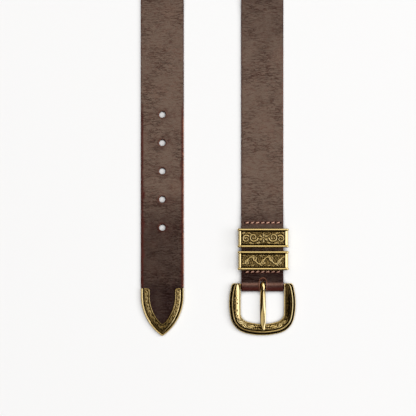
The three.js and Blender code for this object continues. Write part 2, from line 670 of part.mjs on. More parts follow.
function roundedBox(halfWidth, low, high, radius) {
  const shape = new THREE.Shape();
  shape.moveTo(-halfWidth + radius, low);
  shape.lineTo(halfWidth - radius, low);
  shape.absarc(halfWidth - radius, low + radius, radius, -Math.PI / 2, 0);
  shape.absarc(halfWidth - radius, high - radius, radius, 0, Math.PI / 2);
  shape.absarc(-halfWidth + radius, high - radius, radius, Math.PI / 2, Math.PI);
  shape.absarc(-halfWidth + radius, low + radius, radius, Math.PI, 1.5 * Math.PI);
  return shape;
}

// A shape drawn in X and Z, carried along Y from one place to another.
function alongY(shape, from, to) {
  const geometry = new THREE.ExtrudeGeometry(shape, { depth: to - from, bevelEnabled: false, curveSegments: 4 });
  return geometry.rotateX(Math.PI / 2).translate(0, to, 0);
}

// The bead that edges the keeper's face and both its sides: a round bar along one edge of the band.
function keeperBead(y) {
  const [x, top] = [KEEPER_HALF_WIDTH - BEAD_INSET, KEEPER_TOP_Z - BEAD_INSET];
  const low = KEEPER_BACK_Z + BEAD_END_HEIGHT;
  const way = [[-x, low]];
  for (const [cx, from] of [
    [-x + KEEPER_CORNER, Math.PI],
    [x - KEEPER_CORNER, Math.PI / 2],
  ]) {
    for (let i = 0; i <= 3; i++) {
      const angle = from - (Math.PI / 2) * (i / 3);
      way.push([cx + KEEPER_CORNER * Math.cos(angle), top - KEEPER_CORNER + KEEPER_CORNER * Math.sin(angle)]);
    }
  }
  way.push([x, low]);
  const sides = 8;
  const outline = Array.from({ length: sides }, (_, i) => {
    const angle = (2 * Math.PI * (i + 0.5)) / sides;
    return new THREE.Vector2(Math.cos(angle), Math.sin(angle)).multiplyScalar(BEAD_RADIUS);
  });
  const rings = way.map(([px, pz], i) => {
    const before = way[Math.max(i - 1, 0)];
    const after = way[Math.min(i + 1, way.length - 1)];
    const out = new THREE.Vector2(before[1] - after[1], after[0] - before[0]).normalize();
    return outline.map((o) => new THREE.Vector3(px + out.x * o.x, y + o.y, pz + out.y * o.x));
  });
  return oriented(loft(rings, outline));
}

// A spiral curl: points that wind inwards from a start angle.
function curl(x, y, radius, start, turns) {
  const steps = Math.round(16 * Math.abs(turns));
  return Array.from({ length: steps + 1 }, (_, i) => {
    const t = i / steps;
    const angle = start + 2 * Math.PI * turns * t;
    const r = radius * (1 - 0.72 * t);
    return new THREE.Vector2(x + r * Math.cos(angle), y + r * Math.sin(angle));
  });
}

// The upper keeper's ornament: a six-petalled flower between curls that mirror each other, with leaves.
const CURLS = [
  { x: 8.4, y: 0.9, radius: 3.6, start: -2.6, turns: 1.25 },
  { x: 14.6, y: -0.9, radius: 3.4, start: 2.6, turns: -1.25 },
];
const CURL_LEAVES = [
  { x: 5.0, y: -3.9, angle: -0.35, length: 4.2 },
  { x: 11.3, y: 4.2, angle: 0.3, length: 4.4 },
  { x: 11.6, y: -4.1, angle: -0.2, length: 3.6 },
  { x: 17.6, y: 4.0, angle: -0.5, length: 3.6 },
  { x: 4.6, y: 4.1, angle: 0.5, length: 3.2 },
];

function flowerAndCurls(place) {
  const bodies = [leaf(0, 0, 0, 2.0, 2.0, 0.7, place)];
  for (let i = 0; i < 6; i++) {
    const angle = (Math.PI / 3) * i + Math.PI / 6;
    bodies.push(leaf(2.1 * Math.cos(angle), 2.1 * Math.sin(angle), angle, 2.7, 1.7, 0.55, place));
  }
  for (const sign of [-1, 1]) {
    const mirrored = (x, y, up) => place(sign * x, y, up);
    for (const { x, y, radius, start, turns } of CURLS) {
      bodies.push(ridge(curl(x, y, radius, start, turns), 0.45, 0.55, mirrored));
    }
    for (const { x, y, angle, length } of CURL_LEAVES) {
      bodies.push(leaf(x, y, angle, length, 1.5, 0.5, mirrored));
    }
  }
  return bodies;
}

// The lower keeper's ornament: a running vine with a curl in each bend.
const KEEPER_WAVES = 4;
const KEEPER_VINE_AMPLITUDE = 3.1;

function vineAndCurls(place) {
  const length = 2 * PANEL_HALF_WIDTH;
  const centred = (x, y, up) => place(x - PANEL_HALF_WIDTH, y, up);
  const bodies = vine(length, KEEPER_WAVES, KEEPER_VINE_AMPLITUDE, centred, 12);
  const halfWave = length / KEEPER_WAVES / 2;
  for (let i = 0; i < 2 * KEEPER_WAVES; i++) {
    const side = i % 2 ? -1 : 1;
    bodies.push(ridge(curl(halfWave * (i + 0.5), -1.2 * side, 1.7, side * 1.2, side * 0.9), 0.35, 0.5, centred));
  }
  return bodies;
}

function keeperGeometry(y, ornament) {
  const half = KEEPER_LENGTH / 2 - BEAD_RADIUS; // the band ends under the beads' centres
  const inner = KEEPER_HALF_WIDTH - KEEPER_WALL;
  const outerShape = roundedBox(KEEPER_HALF_WIDTH, KEEPER_BACK_Z, KEEPER_TOP_Z, KEEPER_CORNER);
  const hollowShape = roundedBox(inner, KEEPER_INNER_Z, KEEPER_FACE_Z, KEEPER_INNER_CORNER);
  let band = solid(alongY(outerShape, -half, half)).subtract(solid(alongY(hollowShape, -half - 1, half + 1)));
  const trimLength = half - KEEPER_BACK_LENGTH / 2 + 1;
  for (const sign of [-1, 1]) {
    const trim = new THREE.BoxGeometry(2 * inner, trimLength, 2 * KEEPER_BACK_THICKNESS);
    trim.translate(0, (sign * (KEEPER_BACK_LENGTH + trimLength)) / 2, KEEPER_BACK_Z + KEEPER_BACK_THICKNESS / 2);
    band = band.subtract(solid(trim));
  }
  const panel = new THREE.BoxGeometry(2 * PANEL_HALF_WIDTH, 2 * PANEL_HALF_LENGTH, 2 * PANEL_DEPTH);
  band = band.subtract(solid(panel.translate(0, 0, KEEPER_TOP_Z)));
  const beadY = KEEPER_LENGTH / 2 - BEAD_RADIUS;
  const place = (x, v, up) => new THREE.Vector3(x, v, KEEPER_TOP_Z - PANEL_DEPTH + up);
  const body = joined([band, keeperBead(-beadY), keeperBead(beadY), ...ornament(place)]);
  return geometryOf(body).translate(STRAND_X + KEEPER_SHIFT_X, y, 0);
}

// Height over the point of an ogive outline at x, with its point a little rounded.
function ogiveHeight(x, { halfWidth, straightFrom, point = 0, pointRounding }) {
  const rise = straightFrom - point;
  const radius = (rise ** 2 + halfWidth ** 2) / (2 * halfWidth);
  const rounded = Math.min(Math.hypot(x, pointRounding), halfWidth);
  return straightFrom - Math.sqrt(Math.max(radius ** 2 - (radius - halfWidth + rounded) ** 2, 0));
}

// Pairs of outer and inner outline points from one leg's end, round the point, to the other's.
function tipWay(straightSteps, arcSteps) {
  const half = [];
  for (const past of [1, 0.85, 0.5]) {
    const h = TIP.length - WINDOW_CORNER * (1 - past);
    const x = WINDOW.halfWidth + WINDOW_CORNER * (1 - Math.sqrt(1 - past ** 2));
    half.push({ outer: { x: TIP.halfWidth, h }, inner: { x, h } });
  }
  const cornerEnd = TIP.length - WINDOW_CORNER;
  for (let i = 0; i < straightSteps; i++) {
    const h = cornerEnd + ((TIP.straightFrom - cornerEnd) * i) / straightSteps;
    half.push({ outer: { x: TIP.halfWidth, h }, inner: { x: WINDOW.halfWidth, h } });
  }
  for (let i = 0; i <= arcSteps; i++) {
    const share = Math.cos((Math.PI / 2) * (i / arcSteps)) ** 1.25;
    const [outerX, innerX] = [TIP.halfWidth * share, WINDOW.halfWidth * share];
    half.push({
      outer: { x: outerX, h: ogiveHeight(outerX, TIP) },
      inner: { x: innerX, h: ogiveHeight(innerX, WINDOW) },
    });
  }
  const left = half.map((pair) => ({ pair, sign: -1 }));
  const right = half
    .slice(0, -1)
    .reverse()
    .map((pair) => ({ pair, sign: 1 }));
  return [...left, ...right];
}

// The tip's channel section: a plain back flange, the outer wall, and a face with a bead at each side and a
// groove inside the outer bead. Distances are from the named edge, square to it as nearly as the way allows.
const TIP_SECTION = [
  { from: "inner", distance: 0.3, z: 0 },
  { from: "outer", distance: 0.35, z: 0 },
  { from: "outer", distance: 0, z: 0.35 },
  { from: "outer", distance: 0, z: 4.3 },
  { from: "outer", distance: 0.35, z: 4.85 },
  { from: "outer", distance: 0.95, z: 4.85 },
  { from: "outer", distance: 1.3, z: 4.2 },
  { from: "outer", distance: 1.9, z: 4.1 },
  { from: "outer", distance: 2.15, z: 4.4 },
  { from: "inner", distance: 1.3, z: 4.3 },
  { from: "inner", distance: 1.0, z: 4.7 },
  { from: "inner", distance: 0.35, z: 4.75 },
  { from: "inner", distance: 0, z: 4.3 },
  { from: "inner", distance: 0, z: TIP_FACE_Z },
  { from: "outer", distance: TIP_WALL, z: TIP_FACE_Z },
  { from: "outer", distance: TIP_WALL, z: TIP_BACK_THICKNESS },
  { from: "inner", distance: 0.0, z: TIP_BACK_THICKNESS },
  { from: "inner", distance: 0.0, z: 0.3 },
];

function tipPoint({ pair: { outer, inner }, sign }, from, distance, z) {
  const width = Math.hypot(outer.x - inner.x, outer.h - inner.h);
  const share = from === "inner" ? distance / width : 1 - distance / width;
  const x = inner.x + (outer.x - inner.x) * share;
  const h = inner.h + (outer.h - inner.h) * share;
  return new THREE.Vector3(sign * x - STRAND_X, TIP_POINT_Y + h, z);
}

const TIP_BAND_LENGTH = 88;
const TIP_BAND_MIDDLE = 3.7; // distance of its middle line from the window
const TIP_BAND_Z = 4.3;
const TIP_WAVES = 9;
const TIP_VINE_AMPLITUDE = 0.9;

function tipGeometry() {
  const outline = sectionOutline(TIP_SECTION, TIP.halfWidth - WINDOW.halfWidth, "z");
  const rings = tipWay(1, 14).map((at) => TIP_SECTION.map((p) => tipPoint(at, p.from, p.distance, p.z)));
  const bodies = [oriented(loft(rings, outline))];
  const way = tipWay(5, 40);
  const place = (x, y, up) => {
    const i = THREE.MathUtils.clamp(x / TIP_BAND_LENGTH, 0, 0.9999) * (way.length - 1);
    const [a, b] = [way[Math.floor(i)], way[Math.floor(i) + 1]];
    const [p, q] = [a, b].map((at) => tipPoint(at, "inner", TIP_BAND_MIDDLE + y, TIP_BAND_Z + up));
    return p.lerp(q, i - Math.floor(i));
  };
  bodies.push(...vine(TIP_BAND_LENGTH, TIP_WAVES, TIP_VINE_AMPLITUDE, place, 6));
  return geometryOf(joined(bodies));
}

const belt = new THREE.Group();
belt.add(meshOf("strap", strapGeometry(), leather));
belt.add(meshOf("buckle_frame", frameGeometry(), brass));
belt.add(meshOf("buckle_tongue", tongueGeometry(), brass));
belt.add(meshOf("keeper_upper", keeperGeometry(KEEPER_Y.keeper_upper, flowerAndCurls), brass));
belt.add(meshOf("keeper_lower", keeperGeometry(KEEPER_Y.keeper_lower, vineAndCurls), brass));
belt.add(meshOf("belt_tip", tipGeometry(), brass));

// Moves the layout so that the origin is under the middle of the belt's footprint.
const footprint = new THREE.Box3().setFromObject(belt, true).getCenter(new THREE.Vector3());
belt.position.set(-footprint.x, -footprint.y, 0);

export default belt;
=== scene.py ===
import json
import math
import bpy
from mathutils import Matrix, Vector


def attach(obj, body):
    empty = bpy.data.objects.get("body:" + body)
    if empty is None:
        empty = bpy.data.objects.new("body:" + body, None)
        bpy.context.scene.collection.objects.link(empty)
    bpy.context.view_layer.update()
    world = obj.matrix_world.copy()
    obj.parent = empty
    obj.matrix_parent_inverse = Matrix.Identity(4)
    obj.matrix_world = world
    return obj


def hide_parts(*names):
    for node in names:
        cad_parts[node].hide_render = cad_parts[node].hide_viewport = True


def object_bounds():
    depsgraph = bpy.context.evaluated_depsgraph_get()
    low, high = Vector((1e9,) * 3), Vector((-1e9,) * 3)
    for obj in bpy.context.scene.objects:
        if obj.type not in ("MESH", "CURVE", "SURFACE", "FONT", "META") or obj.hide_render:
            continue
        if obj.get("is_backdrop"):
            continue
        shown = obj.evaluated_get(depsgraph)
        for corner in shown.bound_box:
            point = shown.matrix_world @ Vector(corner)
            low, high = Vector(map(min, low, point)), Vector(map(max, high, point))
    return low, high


bl_info = {
    "name": "Western belt",
    "version": (1, 0, 0),
    "blender": (4, 5, 0),
    "location": "3D View > Sidebar > Belt",
    "description": "A leather belt with a cast brass buckle, keepers and tip, lying on a pale table",
    "category": "Add Mesh",
}

import bmesh
import bpy
import numpy as np
from bpy.props import FloatProperty, FloatVectorProperty, PointerProperty

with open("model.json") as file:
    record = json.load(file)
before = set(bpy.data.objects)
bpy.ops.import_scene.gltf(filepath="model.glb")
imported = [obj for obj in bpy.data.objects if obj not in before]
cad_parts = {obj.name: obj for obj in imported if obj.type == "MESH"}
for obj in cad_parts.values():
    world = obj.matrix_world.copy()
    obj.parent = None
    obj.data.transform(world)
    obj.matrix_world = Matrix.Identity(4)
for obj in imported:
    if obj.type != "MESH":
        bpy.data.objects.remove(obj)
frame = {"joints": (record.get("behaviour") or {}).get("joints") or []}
CAD_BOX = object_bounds()

# Lengths in this file are millimetres, and a mesh is turned into metres when it is made. X is measured from
# the line midway between the two strands and Y from the buckle's bar, which is where the frame has it.
MM = 0.001
BAR = next(joint for joint in frame["joints"] if joint["name"] == "frame_swing")["pos_m"]

# Layout
STRAND_X = 44.55  # from the midline to each strand's centre
VISIBLE_Y = 255.7  # from the bar to where both strands start to leave the table
LOOP_LENGTH = 456  # of strap between those two places
TIP_POINT_Y = -44.3  # the tip's point, beside the buckle's front rail
LAYOUT_ORIGIN = np.array([BAR[0] / MM - STRAND_X, BAR[1] / MM, 0])

# Strap
HALF_WIDTH = 18.75  # at the buckle
EXTRA_HALF_WIDTH = 0.35  # gained by the time it gets to the tip
WIDENING_START = -150  # strap lengths past VISIBLE_Y, between which it is gained
WIDENING_END = 350
THICKNESS = 3.0
FOLD_THICKNESS = 2.2  # pared down where it turns round the bar and lies underneath
PARED_END_THICKNESS = 0.8
TURNED_BACK_Y = 62  # where the turned-back layer ends
TURNED_BACK_INSET = 0.3
EDGE_RADIUS = 0.9
HOLE_RADIUS = 2.9
HOLE_COUNT = 5
HOLE_PITCH = 25.2
FIRST_HOLE_FROM_POINT = 96.9
SLOT_SHIFT_X = 0.45  # the slot and the tongue stand a little to one side
SLOT_HALF_WIDTH = 2.6
SLOT_END_Y = 6.5
LOWER_SLOT_END_Y = 5.2  # in the turned-back layer, out of sight under the slot's end

# How the strap's middle rolls up and goes round. All but the last three are strap lengths past VISIBLE_Y.
ROLL_START = -20
ROLL_END = 155
BULGE_START = 30
BULGE_END = 120
BEND_START = 112.6
BEND_EASE = 40
PATH_STEP = 0.5
BULGE_TURN = math.radians(10)  # how far each strand first swings outwards

# Bar, fold and tongue
BAR_RADIUS = 2.0
BAR_OVERLAP = 0.8  # how far it goes into each arm
RUNNING_GAP = 0.3
LAYER_GAP = 0.28  # between leather and the metal that it lies against
BAR_Z = RUNNING_GAP + BAR_RADIUS + FOLD_THICKNESS
FOLD_MID_RADIUS = BAR_RADIUS + RUNNING_GAP + FOLD_THICKNESS / 2
FOLD_ARC = math.pi * FOLD_MID_RADIUS
TONGUE_RING_RADIUS = 4.15
TONGUE_RING_HALF_WIDTH = 2.0
TONGUE_X = STRAND_X + SLOT_SHIFT_X

# Buckle frame
FRAME_BASE_BELOW_BAR = 2.0
FRAME_LENGTH = 43.5  # bar to the front of the rail
FRAME_BACK = -2.5  # the arms end a little behind the bar
FRAME_ARCH = 0.8
FRAME_TILT = math.asin((BAR_Z - FRAME_BASE_BELOW_BAR) / FRAME_LENGTH)
OUTER = {"half_width": 29.7, "widest_v": 15, "side_radius": 60, "corner_radius": 18, "rail_radius": 60}
INNER = {"half_width": 19.3, "front_v": 33.5, "corner_radius": 8, "rail_radius": 44}

# Keepers
KEEPER_LENGTH = 16.8  # along the strap
KEEPER_Y = {"keeper_lower": 23.3, "keeper_upper": 43.3}
KEEPER_X = STRAND_X + 0.55  # both sit a little to one side on the strap
KEEPER_HALF_WIDTH = 22.0  # of the band, without its beads
KEEPER_CORNER = 1.2
KEEPER_INNER_CORNER = 0.6
KEEPER_WALL = 1.4
KEEPER_BACK_THICKNESS = 1.2
KEEPER_BACK_LENGTH = 9
KEEPER_ROOM = 8.75  # inside height: the strap and the free end with its tip
KEEPER_FACE_THICKNESS = 1.8
KEEPER_BACK_Z = FOLD_THICKNESS + LAYER_GAP
KEEPER_TOP_Z = KEEPER_BACK_Z + KEEPER_BACK_THICKNESS + KEEPER_ROOM + KEEPER_FACE_THICKNESS
BEAD_RADIUS = 1.05
BEAD_INSET = 0.35  # how deep a bead's centre lies under the band's surface
PANEL_DEPTH = 0.6
PANEL_HALF_WIDTH = 19.25
PANEL_HALF_LENGTH = 5.9
KEEPER_END_SLOPE = 0.24
KEEPER_FACE_STEP = 0.16  # between points across the face

# Tip. Heights run along the strap, over the point.
TIP = {"half_width": 19.05, "straight_from": 36, "point": 0, "rounding": 0.3}
WINDOW = {"half_width": 11.15, "straight_from": 36, "point": 9.9, "rounding": 1.1}
TIP_LENGTH = 42.6
TIP_CORNER = 2.2  # rounds each leg's end towards the window
TIP_WALL = 1.0
TIP_BACK_THICKNESS = 0.8
TIP_LEATHER_THICKNESS = 2.4
TIP_FACE_Z = TIP_BACK_THICKNESS + TIP_LEATHER_THICKNESS + 2 * LAYER_GAP
TIP_MOUTH_Z = TIP_BACK_THICKNESS + LAYER_GAP + TIP_LEATHER_THICKNESS
TIP_MOUTH = TIP_LENGTH + 0.5

# Strap length s runs along the middle of the leather, from 0 over the bar to the tip's point
POINT_S = 2 * VISIBLE_Y + LOOP_LENGTH - TIP_POINT_Y
STRAP_START = -FOLD_ARC - TURNED_BACK_Y
STRAP_END = POINT_S - 3.5

# Heights of the strap's middle and its thickness, with a column for each
KEEPER_RIDE_Z = KEEPER_BACK_Z + KEEPER_BACK_THICKNESS + LAYER_GAP + THICKNESS / 2
BUCKLE_STRAND = {
    "y": (0, 12, 13.9, 17.8, 48.8, 54.5, 58.5, 80),
    "z": (BAR_Z + FOLD_MID_RADIUS, 3.75, 3.8, KEEPER_RIDE_Z, KEEPER_RIDE_Z, 3.8, 3.8, THICKNESS / 2),
    "thickness": (FOLD_THICKNESS, 2.9, *[THICKNESS] * 6),
}
TIP_STRAND = {"over_point": (TIP_MOUTH, 95), "z": (TIP_MOUTH_Z - THICKNESS / 2, THICKNESS / 2)}
TURNED_BACK = {"y": (51, 57, TURNED_BACK_Y), "thickness": (FOLD_THICKNESS, 1.5, PARED_END_THICKNESS)}


class BeltLeatherSettings(bpy.types.PropertyGroup):
    """Colours of the strap and its thread."""

    # Partly the wax bloom of the hide and partly a painted sheen
    waxed_and_sheen_color: FloatVectorProperty(
        name="Waxed colour",
        description="Where the wax has bloomed and the hide looks greyish",
        subtype="COLOR",
        default=(0.113, 0.0772, 0.0565),
        min=0,
        max=1,
    )
    deep_color: FloatVectorProperty(
        name="Deep colour",
        description="Where the dye is deepest, round the fold and towards the tip",
        subtype="COLOR",
        default=(0.0138, 0.0055, 0.0038),
        min=0,
        max=1,
    )
    # Also the colour of the painted shade on the walls of the holes and the slot, and under the slot
    edge_and_shade_color: FloatVectorProperty(
        name="Burnished edge colour",
        description="The dyed and polished edges and the rims of the holes",
        subtype="COLOR",
        default=(0.05, 0.0088, 0.0053),
        min=0,
        max=1,
    )
    # Partly dye rubbed off the edges and partly painted highlights on the strands' right-hand edges, the
    # hole and slot rims and over the bar
    rubbed_and_highlight_color: FloatVectorProperty(
        name="Rubbed edge colour",
        description="Where the dye has rubbed off the edge",
        subtype="COLOR",
        default=(0.33, 0.14, 0.08),
        min=0,
        max=1,
    )
    flesh_color: FloatVectorProperty(
        name="Flesh side colour",
        description="The rough back of the hide",
        subtype="COLOR",
        default=(0.12, 0.06, 0.035),
        min=0,
        max=1,
    )
    thread_color: FloatVectorProperty(
        name="Thread colour",
        description="The waxed thread on both sides of the keepers",
        subtype="COLOR",
        default=(0.72, 0.4, 0.28),
        min=0,
        max=1,
    )
    wrinkle_depth: FloatProperty(
        name="Wrinkle depth",
        description="How deep the fine wrinkles across the strap are",
        subtype="DISTANCE",
        default=0.0004,
        min=0,
        max=0.001,
        precision=5,
    )


class BeltBrassSettings(bpy.types.PropertyGroup):
    """Colours of the cast set."""

    brass_color: FloatVectorProperty(
        name="Brass colour",
        description="The rubbed, bright metal",
        subtype="COLOR",
        default=(0.62, 0.48, 0.205),
        min=0,
        max=1,
    )
    # The tarnish and antique colours also paint the shade on the frame's left ridge and right band
    tarnish_color: FloatVectorProperty(
        name="Tarnish colour",
        description="The warm film between the bright metal and the dark finish",
        subtype="COLOR",
        default=(0.25, 0.16, 0.045),
        min=0,
        max=1,
    )
    antique_color: FloatVectorProperty(
        name="Antique colour",
        description="The dark finish left in the hollows",
        subtype="COLOR",
        default=(0.014, 0.008, 0.002),
        min=0,
        max=1,
    )
    relief_height: FloatProperty(
        name="Relief height",
        description="How far the ornament stands out of its panels",
        subtype="DISTANCE",
        default=0.00058,
        min=0.0001,
        max=0.0006,
        precision=5,
    )


class BeltStageSettings(bpy.types.PropertyGroup):
    """The table, the lights and the camera."""

    table_color: FloatVectorProperty(
        name="Table colour",
        description="The pale table that the belt lies on",
        subtype="COLOR",
        default=(0.42, 0.42, 0.42),
        min=0,
        max=1,
    )
    table_glow: FloatProperty(
        name="Table glow",
        description="Even light from the table itself, which keeps the shadows faint",
        default=0.37,
        min=0,
        max=1,
    )
    shade_reach: FloatProperty(
        name="Shade reach",
        description="How far away the belt still shades the table's even light",
        subtype="DISTANCE",
        default=0.006,
        min=0.001,
        max=0.1,
    )
    camera_height: FloatProperty(
        name="Camera height",
        description="Height of the camera over the table",
        subtype="DISTANCE",
        default=1.5,
        min=0.5,
        max=5,
    )


# Numbers and curves


def smooth(t):
    """Zero below 0, one above 1, and 3 t squared less 2 t cubed between."""
    t = np.clip(t, 0, 1)
    return t * t * (3 - 2 * t)


def eased(x, places, values):
    """Values at places along a line, with each stretch between two of them eased by smooth()."""
    places, values = np.asarray(places, float), np.asarray(values, float)
    i = np.clip(np.searchsorted(places, x) - 1, 0, len(places) - 2)
    t = smooth((x - places[i]) / (places[i + 1] - places[i]))
    return values[i] + (values[i + 1] - values[i]) * t


def spaced(start, stop, step):
    """Even steps of at most step from start up to stop, which is left out."""
    count = math.ceil((stop - start) / step)
    return start + (stop - start) * np.arange(count) / count


def bump(x, width):
    """A bell of height one at zero: e to the minus (x over width) squared."""
    return np.exp(-((x / width) ** 2))


def round_top(d, middle, half):
    """Half an ellipse, from 0 to 1: the root of 1 less (distance from the middle over half) squared."""
    return np.sqrt(np.clip(1 - ((d - middle) / half) ** 2, 0, 1))


def squared_off(x, power=0.6):
    """A sine or cosine pushed towards 1 and -1, which squares off the circle that it draws."""
    return np.sign(x) * np.abs(x) ** power


def smooth_through(x, places, values):
    """A curve through values at places: cubic stretches whose slopes are the mean of their neighbours'."""
    places, values = np.asarray(places, float), np.asarray(values, float)
    slopes = np.gradient(values, places)
    i = np.clip(np.searchsorted(places, x, side="right") - 1, 0, len(places) - 2)
    span = places[i + 1] - places[i]
    t = (x - places[i]) / span
    from_a = (1 + 2 * t) * (1 - t) ** 2 * values[i] + t * (1 - t) ** 2 * span * slopes[i]
    from_b = t * t * (3 - 2 * t) * values[i + 1] + t * t * (t - 1) * span * slopes[i + 1]
    return from_a + from_b


def waves(x, y, seed, count, longest, shortest):
    """Soft uneven waves from about -1 to 1: a sum of sines with seeded directions, lengths and phases."""
    rng = np.random.default_rng(seed)
    total = np.zeros(np.broadcast(x, y).shape)
    for _ in range(count):
        angle = rng.uniform(0, 2 * math.pi)
        length = rng.uniform(shortest, longest)
        phase = rng.uniform(0, 2 * math.pi)
        total += np.sin(2 * math.pi * (x * math.cos(angle) + y * math.sin(angle)) / length + phase)
    return total / math.sqrt(count)


# Meshes


def grid_quads(rows, columns, first=0, wrap=False):
    """Quads between neighbours on a grid whose points are numbered along each row in turn."""
    r = np.arange(rows - 1)[:, None]
    c = np.arange(columns if wrap else columns - 1)[None, :]
    after = (c + 1) % columns
    corners = [r * columns + c, r * columns + after, (r + 1) * columns + after, (r + 1) * columns + c]
    return first + np.stack(corners, -1).reshape(-1, 4)


def ring_fan(ring, centre):
    """Triangles from a ring of point numbers to one centre point, written as quads with a double corner."""
    ring = np.asarray(ring)
    after = np.roll(ring, -1)
    return np.stack([ring, after, np.full_like(ring, centre), np.full_like(ring, centre)], -1)


def mesh_piece(name, points, quads, attributes=None, face_material=None):
    """A closed piece from points in layout millimetres and quads. A doubled corner makes a triangle."""
    points = (np.asarray(points, float).reshape(-1, 3) + LAYOUT_ORIGIN) * MM
    quads = np.asarray(quads)
    three = quads[:, 2] == quads[:, 3]
    sizes = np.where(three, 3, 4)
    loops = quads.ravel()[np.stack([np.ones_like(three)] * 3 + [~three], -1).ravel()]
    mesh = bpy.data.meshes.new(name)
    mesh.vertices.add(len(points))
    mesh.vertices.foreach_set("co", points.astype(np.float32).ravel())
    mesh.loops.add(len(loops))
    mesh.loops.foreach_set("vertex_index", loops.astype(np.int32))
    mesh.polygons.add(len(quads))
    mesh.polygons.foreach_set("loop_start", np.concatenate([[0], np.cumsum(sizes)[:-1]]).astype(np.int32))
    if face_material is not None:
        mesh.polygons.foreach_set("material_index", np.asarray(face_material, np.int32))
    for key, values in (attributes or {}).items():
        values = np.asarray(values, np.float32)
        is_vector = values.ndim == 2
        layer = mesh.attributes.new(key, "FLOAT_VECTOR" if is_vector else "FLOAT", "POINT")
        layer.data.foreach_set("vector" if is_vector else "value", values.ravel())
    mesh.update(calc_edges=True)
    mesh.validate()
    outward = bmesh.new()
    outward.from_mesh(mesh)
    bmesh.ops.recalc_face_normals(outward, faces=outward.faces)
    outward.to_mesh(mesh)
    outward.free()
    mesh.shade_smooth()
    piece = bpy.data.objects.new(name, mesh)
    bpy.context.scene.collection.objects.link(piece)
    return piece


def mirrored_band(outer, inner, length):
    """A band between two half outlines, carried on over the mirrored half, whose first row it shares.

    Gives the outer outline, the run to it from the inner one, the sign of X in each row, and how far each
    row has walked along the band's middle, scaled so that the whole way comes to length.
    """
    sign = np.concatenate([-np.ones(len(outer)), np.ones(len(outer) - 1)])
    outer = np.concatenate([outer, outer[-2::-1]])
    inner = np.concatenate([inner, inner[-2::-1]])
    middle = (outer + inner) / 2 * np.stack([sign, np.ones_like(sign)], -1)
    walked = np.concatenate([[0], np.cumsum(np.hypot(*np.diff(middle, axis=0).T))])
    walked *= length / walked[-1]
    return outer, outer - inner, sign, walked


def closed_sweep(sections):
    """Points and quads of a tube through sections (rows, points, 3), each end closed on its middle."""
    rows, columns, _ = sections.shape
    ends = sections[[0, -1]].mean(axis=1)
    points = np.concatenate([sections.reshape(-1, 3), ends])
    first_ring = np.arange(columns)
    last_ring = first_ring + (rows - 1) * columns
    quads = [
        grid_quads(rows, columns, wrap=True),
        ring_fan(first_ring[::-1], rows * columns),
        ring_fan(last_ring, rows * columns + 1),
    ]
    return points, np.concatenate(quads)


def arc(centre, radius, start, stop, count, last=False):
    """Points on a circle from one bearing to another, in even steps."""
    angle = np.linspace(start, stop, count, endpoint=last)
    return np.stack([centre[0] + radius * np.cos(angle), centre[1] + radius * np.sin(angle)], -1)


def rod(start, stop, radius, sides=32, rings=2):
    """A round bar's sections between two places along X."""
    angle = np.linspace(0, 2 * math.pi, sides, endpoint=False)
    x = np.linspace(start[0], stop[0], rings)
    circle = np.stack([0 * angle, np.cos(angle), np.sin(angle)], -1) * radius
    return np.stack([[px, start[1], start[2]] + circle for px in x])


# The strap's course


def loop_plan():
    """Half of the hidden loop from above, as x, y and heading at every PATH_STEP.

    The heading gains a squared-sine hump outwards and loses an eased, then steady, turn inwards that comes
    to a quarter turn more. x and y are running sums of its sine and cosine, and x's small remainder is
    spread along the curve so that the two halves meet.
    """
    s = np.arange(0, LOOP_LENGTH / 2, PATH_STEP) + PATH_STEP / 2
    u = np.clip((s - BULGE_START) / (BULGE_END - BULGE_START), 0, 1)
    outward = 2 * BULGE_TURN * np.sin(np.pi * u) ** 2 / (BULGE_END - BULGE_START)
    inward = smooth((s - BEND_START) / BEND_EASE)
    inward *= (math.pi / 2 + BULGE_TURN) / (inward.sum() * PATH_STEP)
    turn = (outward - inward) * PATH_STEP
    heading = np.concatenate([[0], np.cumsum(turn)])
    middle = heading[:-1] + turn / 2
    x = STRAND_X + np.concatenate([[0], np.cumsum(np.sin(middle))]) * PATH_STEP
    y = VISIBLE_Y + np.concatenate([[0], np.cumsum(np.cos(middle))]) * PATH_STEP
    return x - x[-1] * np.linspace(0, 1, len(x)), y, heading


def tip_leather_half_width(h):
    """Half width of the leather inside the tip: the tip's ogive at h over its point, set in evenly."""
    radius = (TIP["straight_from"] ** 2 + TIP["half_width"] ** 2) / (2 * TIP["half_width"])
    below = np.maximum(TIP["straight_from"] - h, 0)
    inset = TIP_WALL + RUNNING_GAP
    return np.sqrt(np.maximum((radius - inset) ** 2 - below**2, 0)) - (radius - TIP["half_width"])


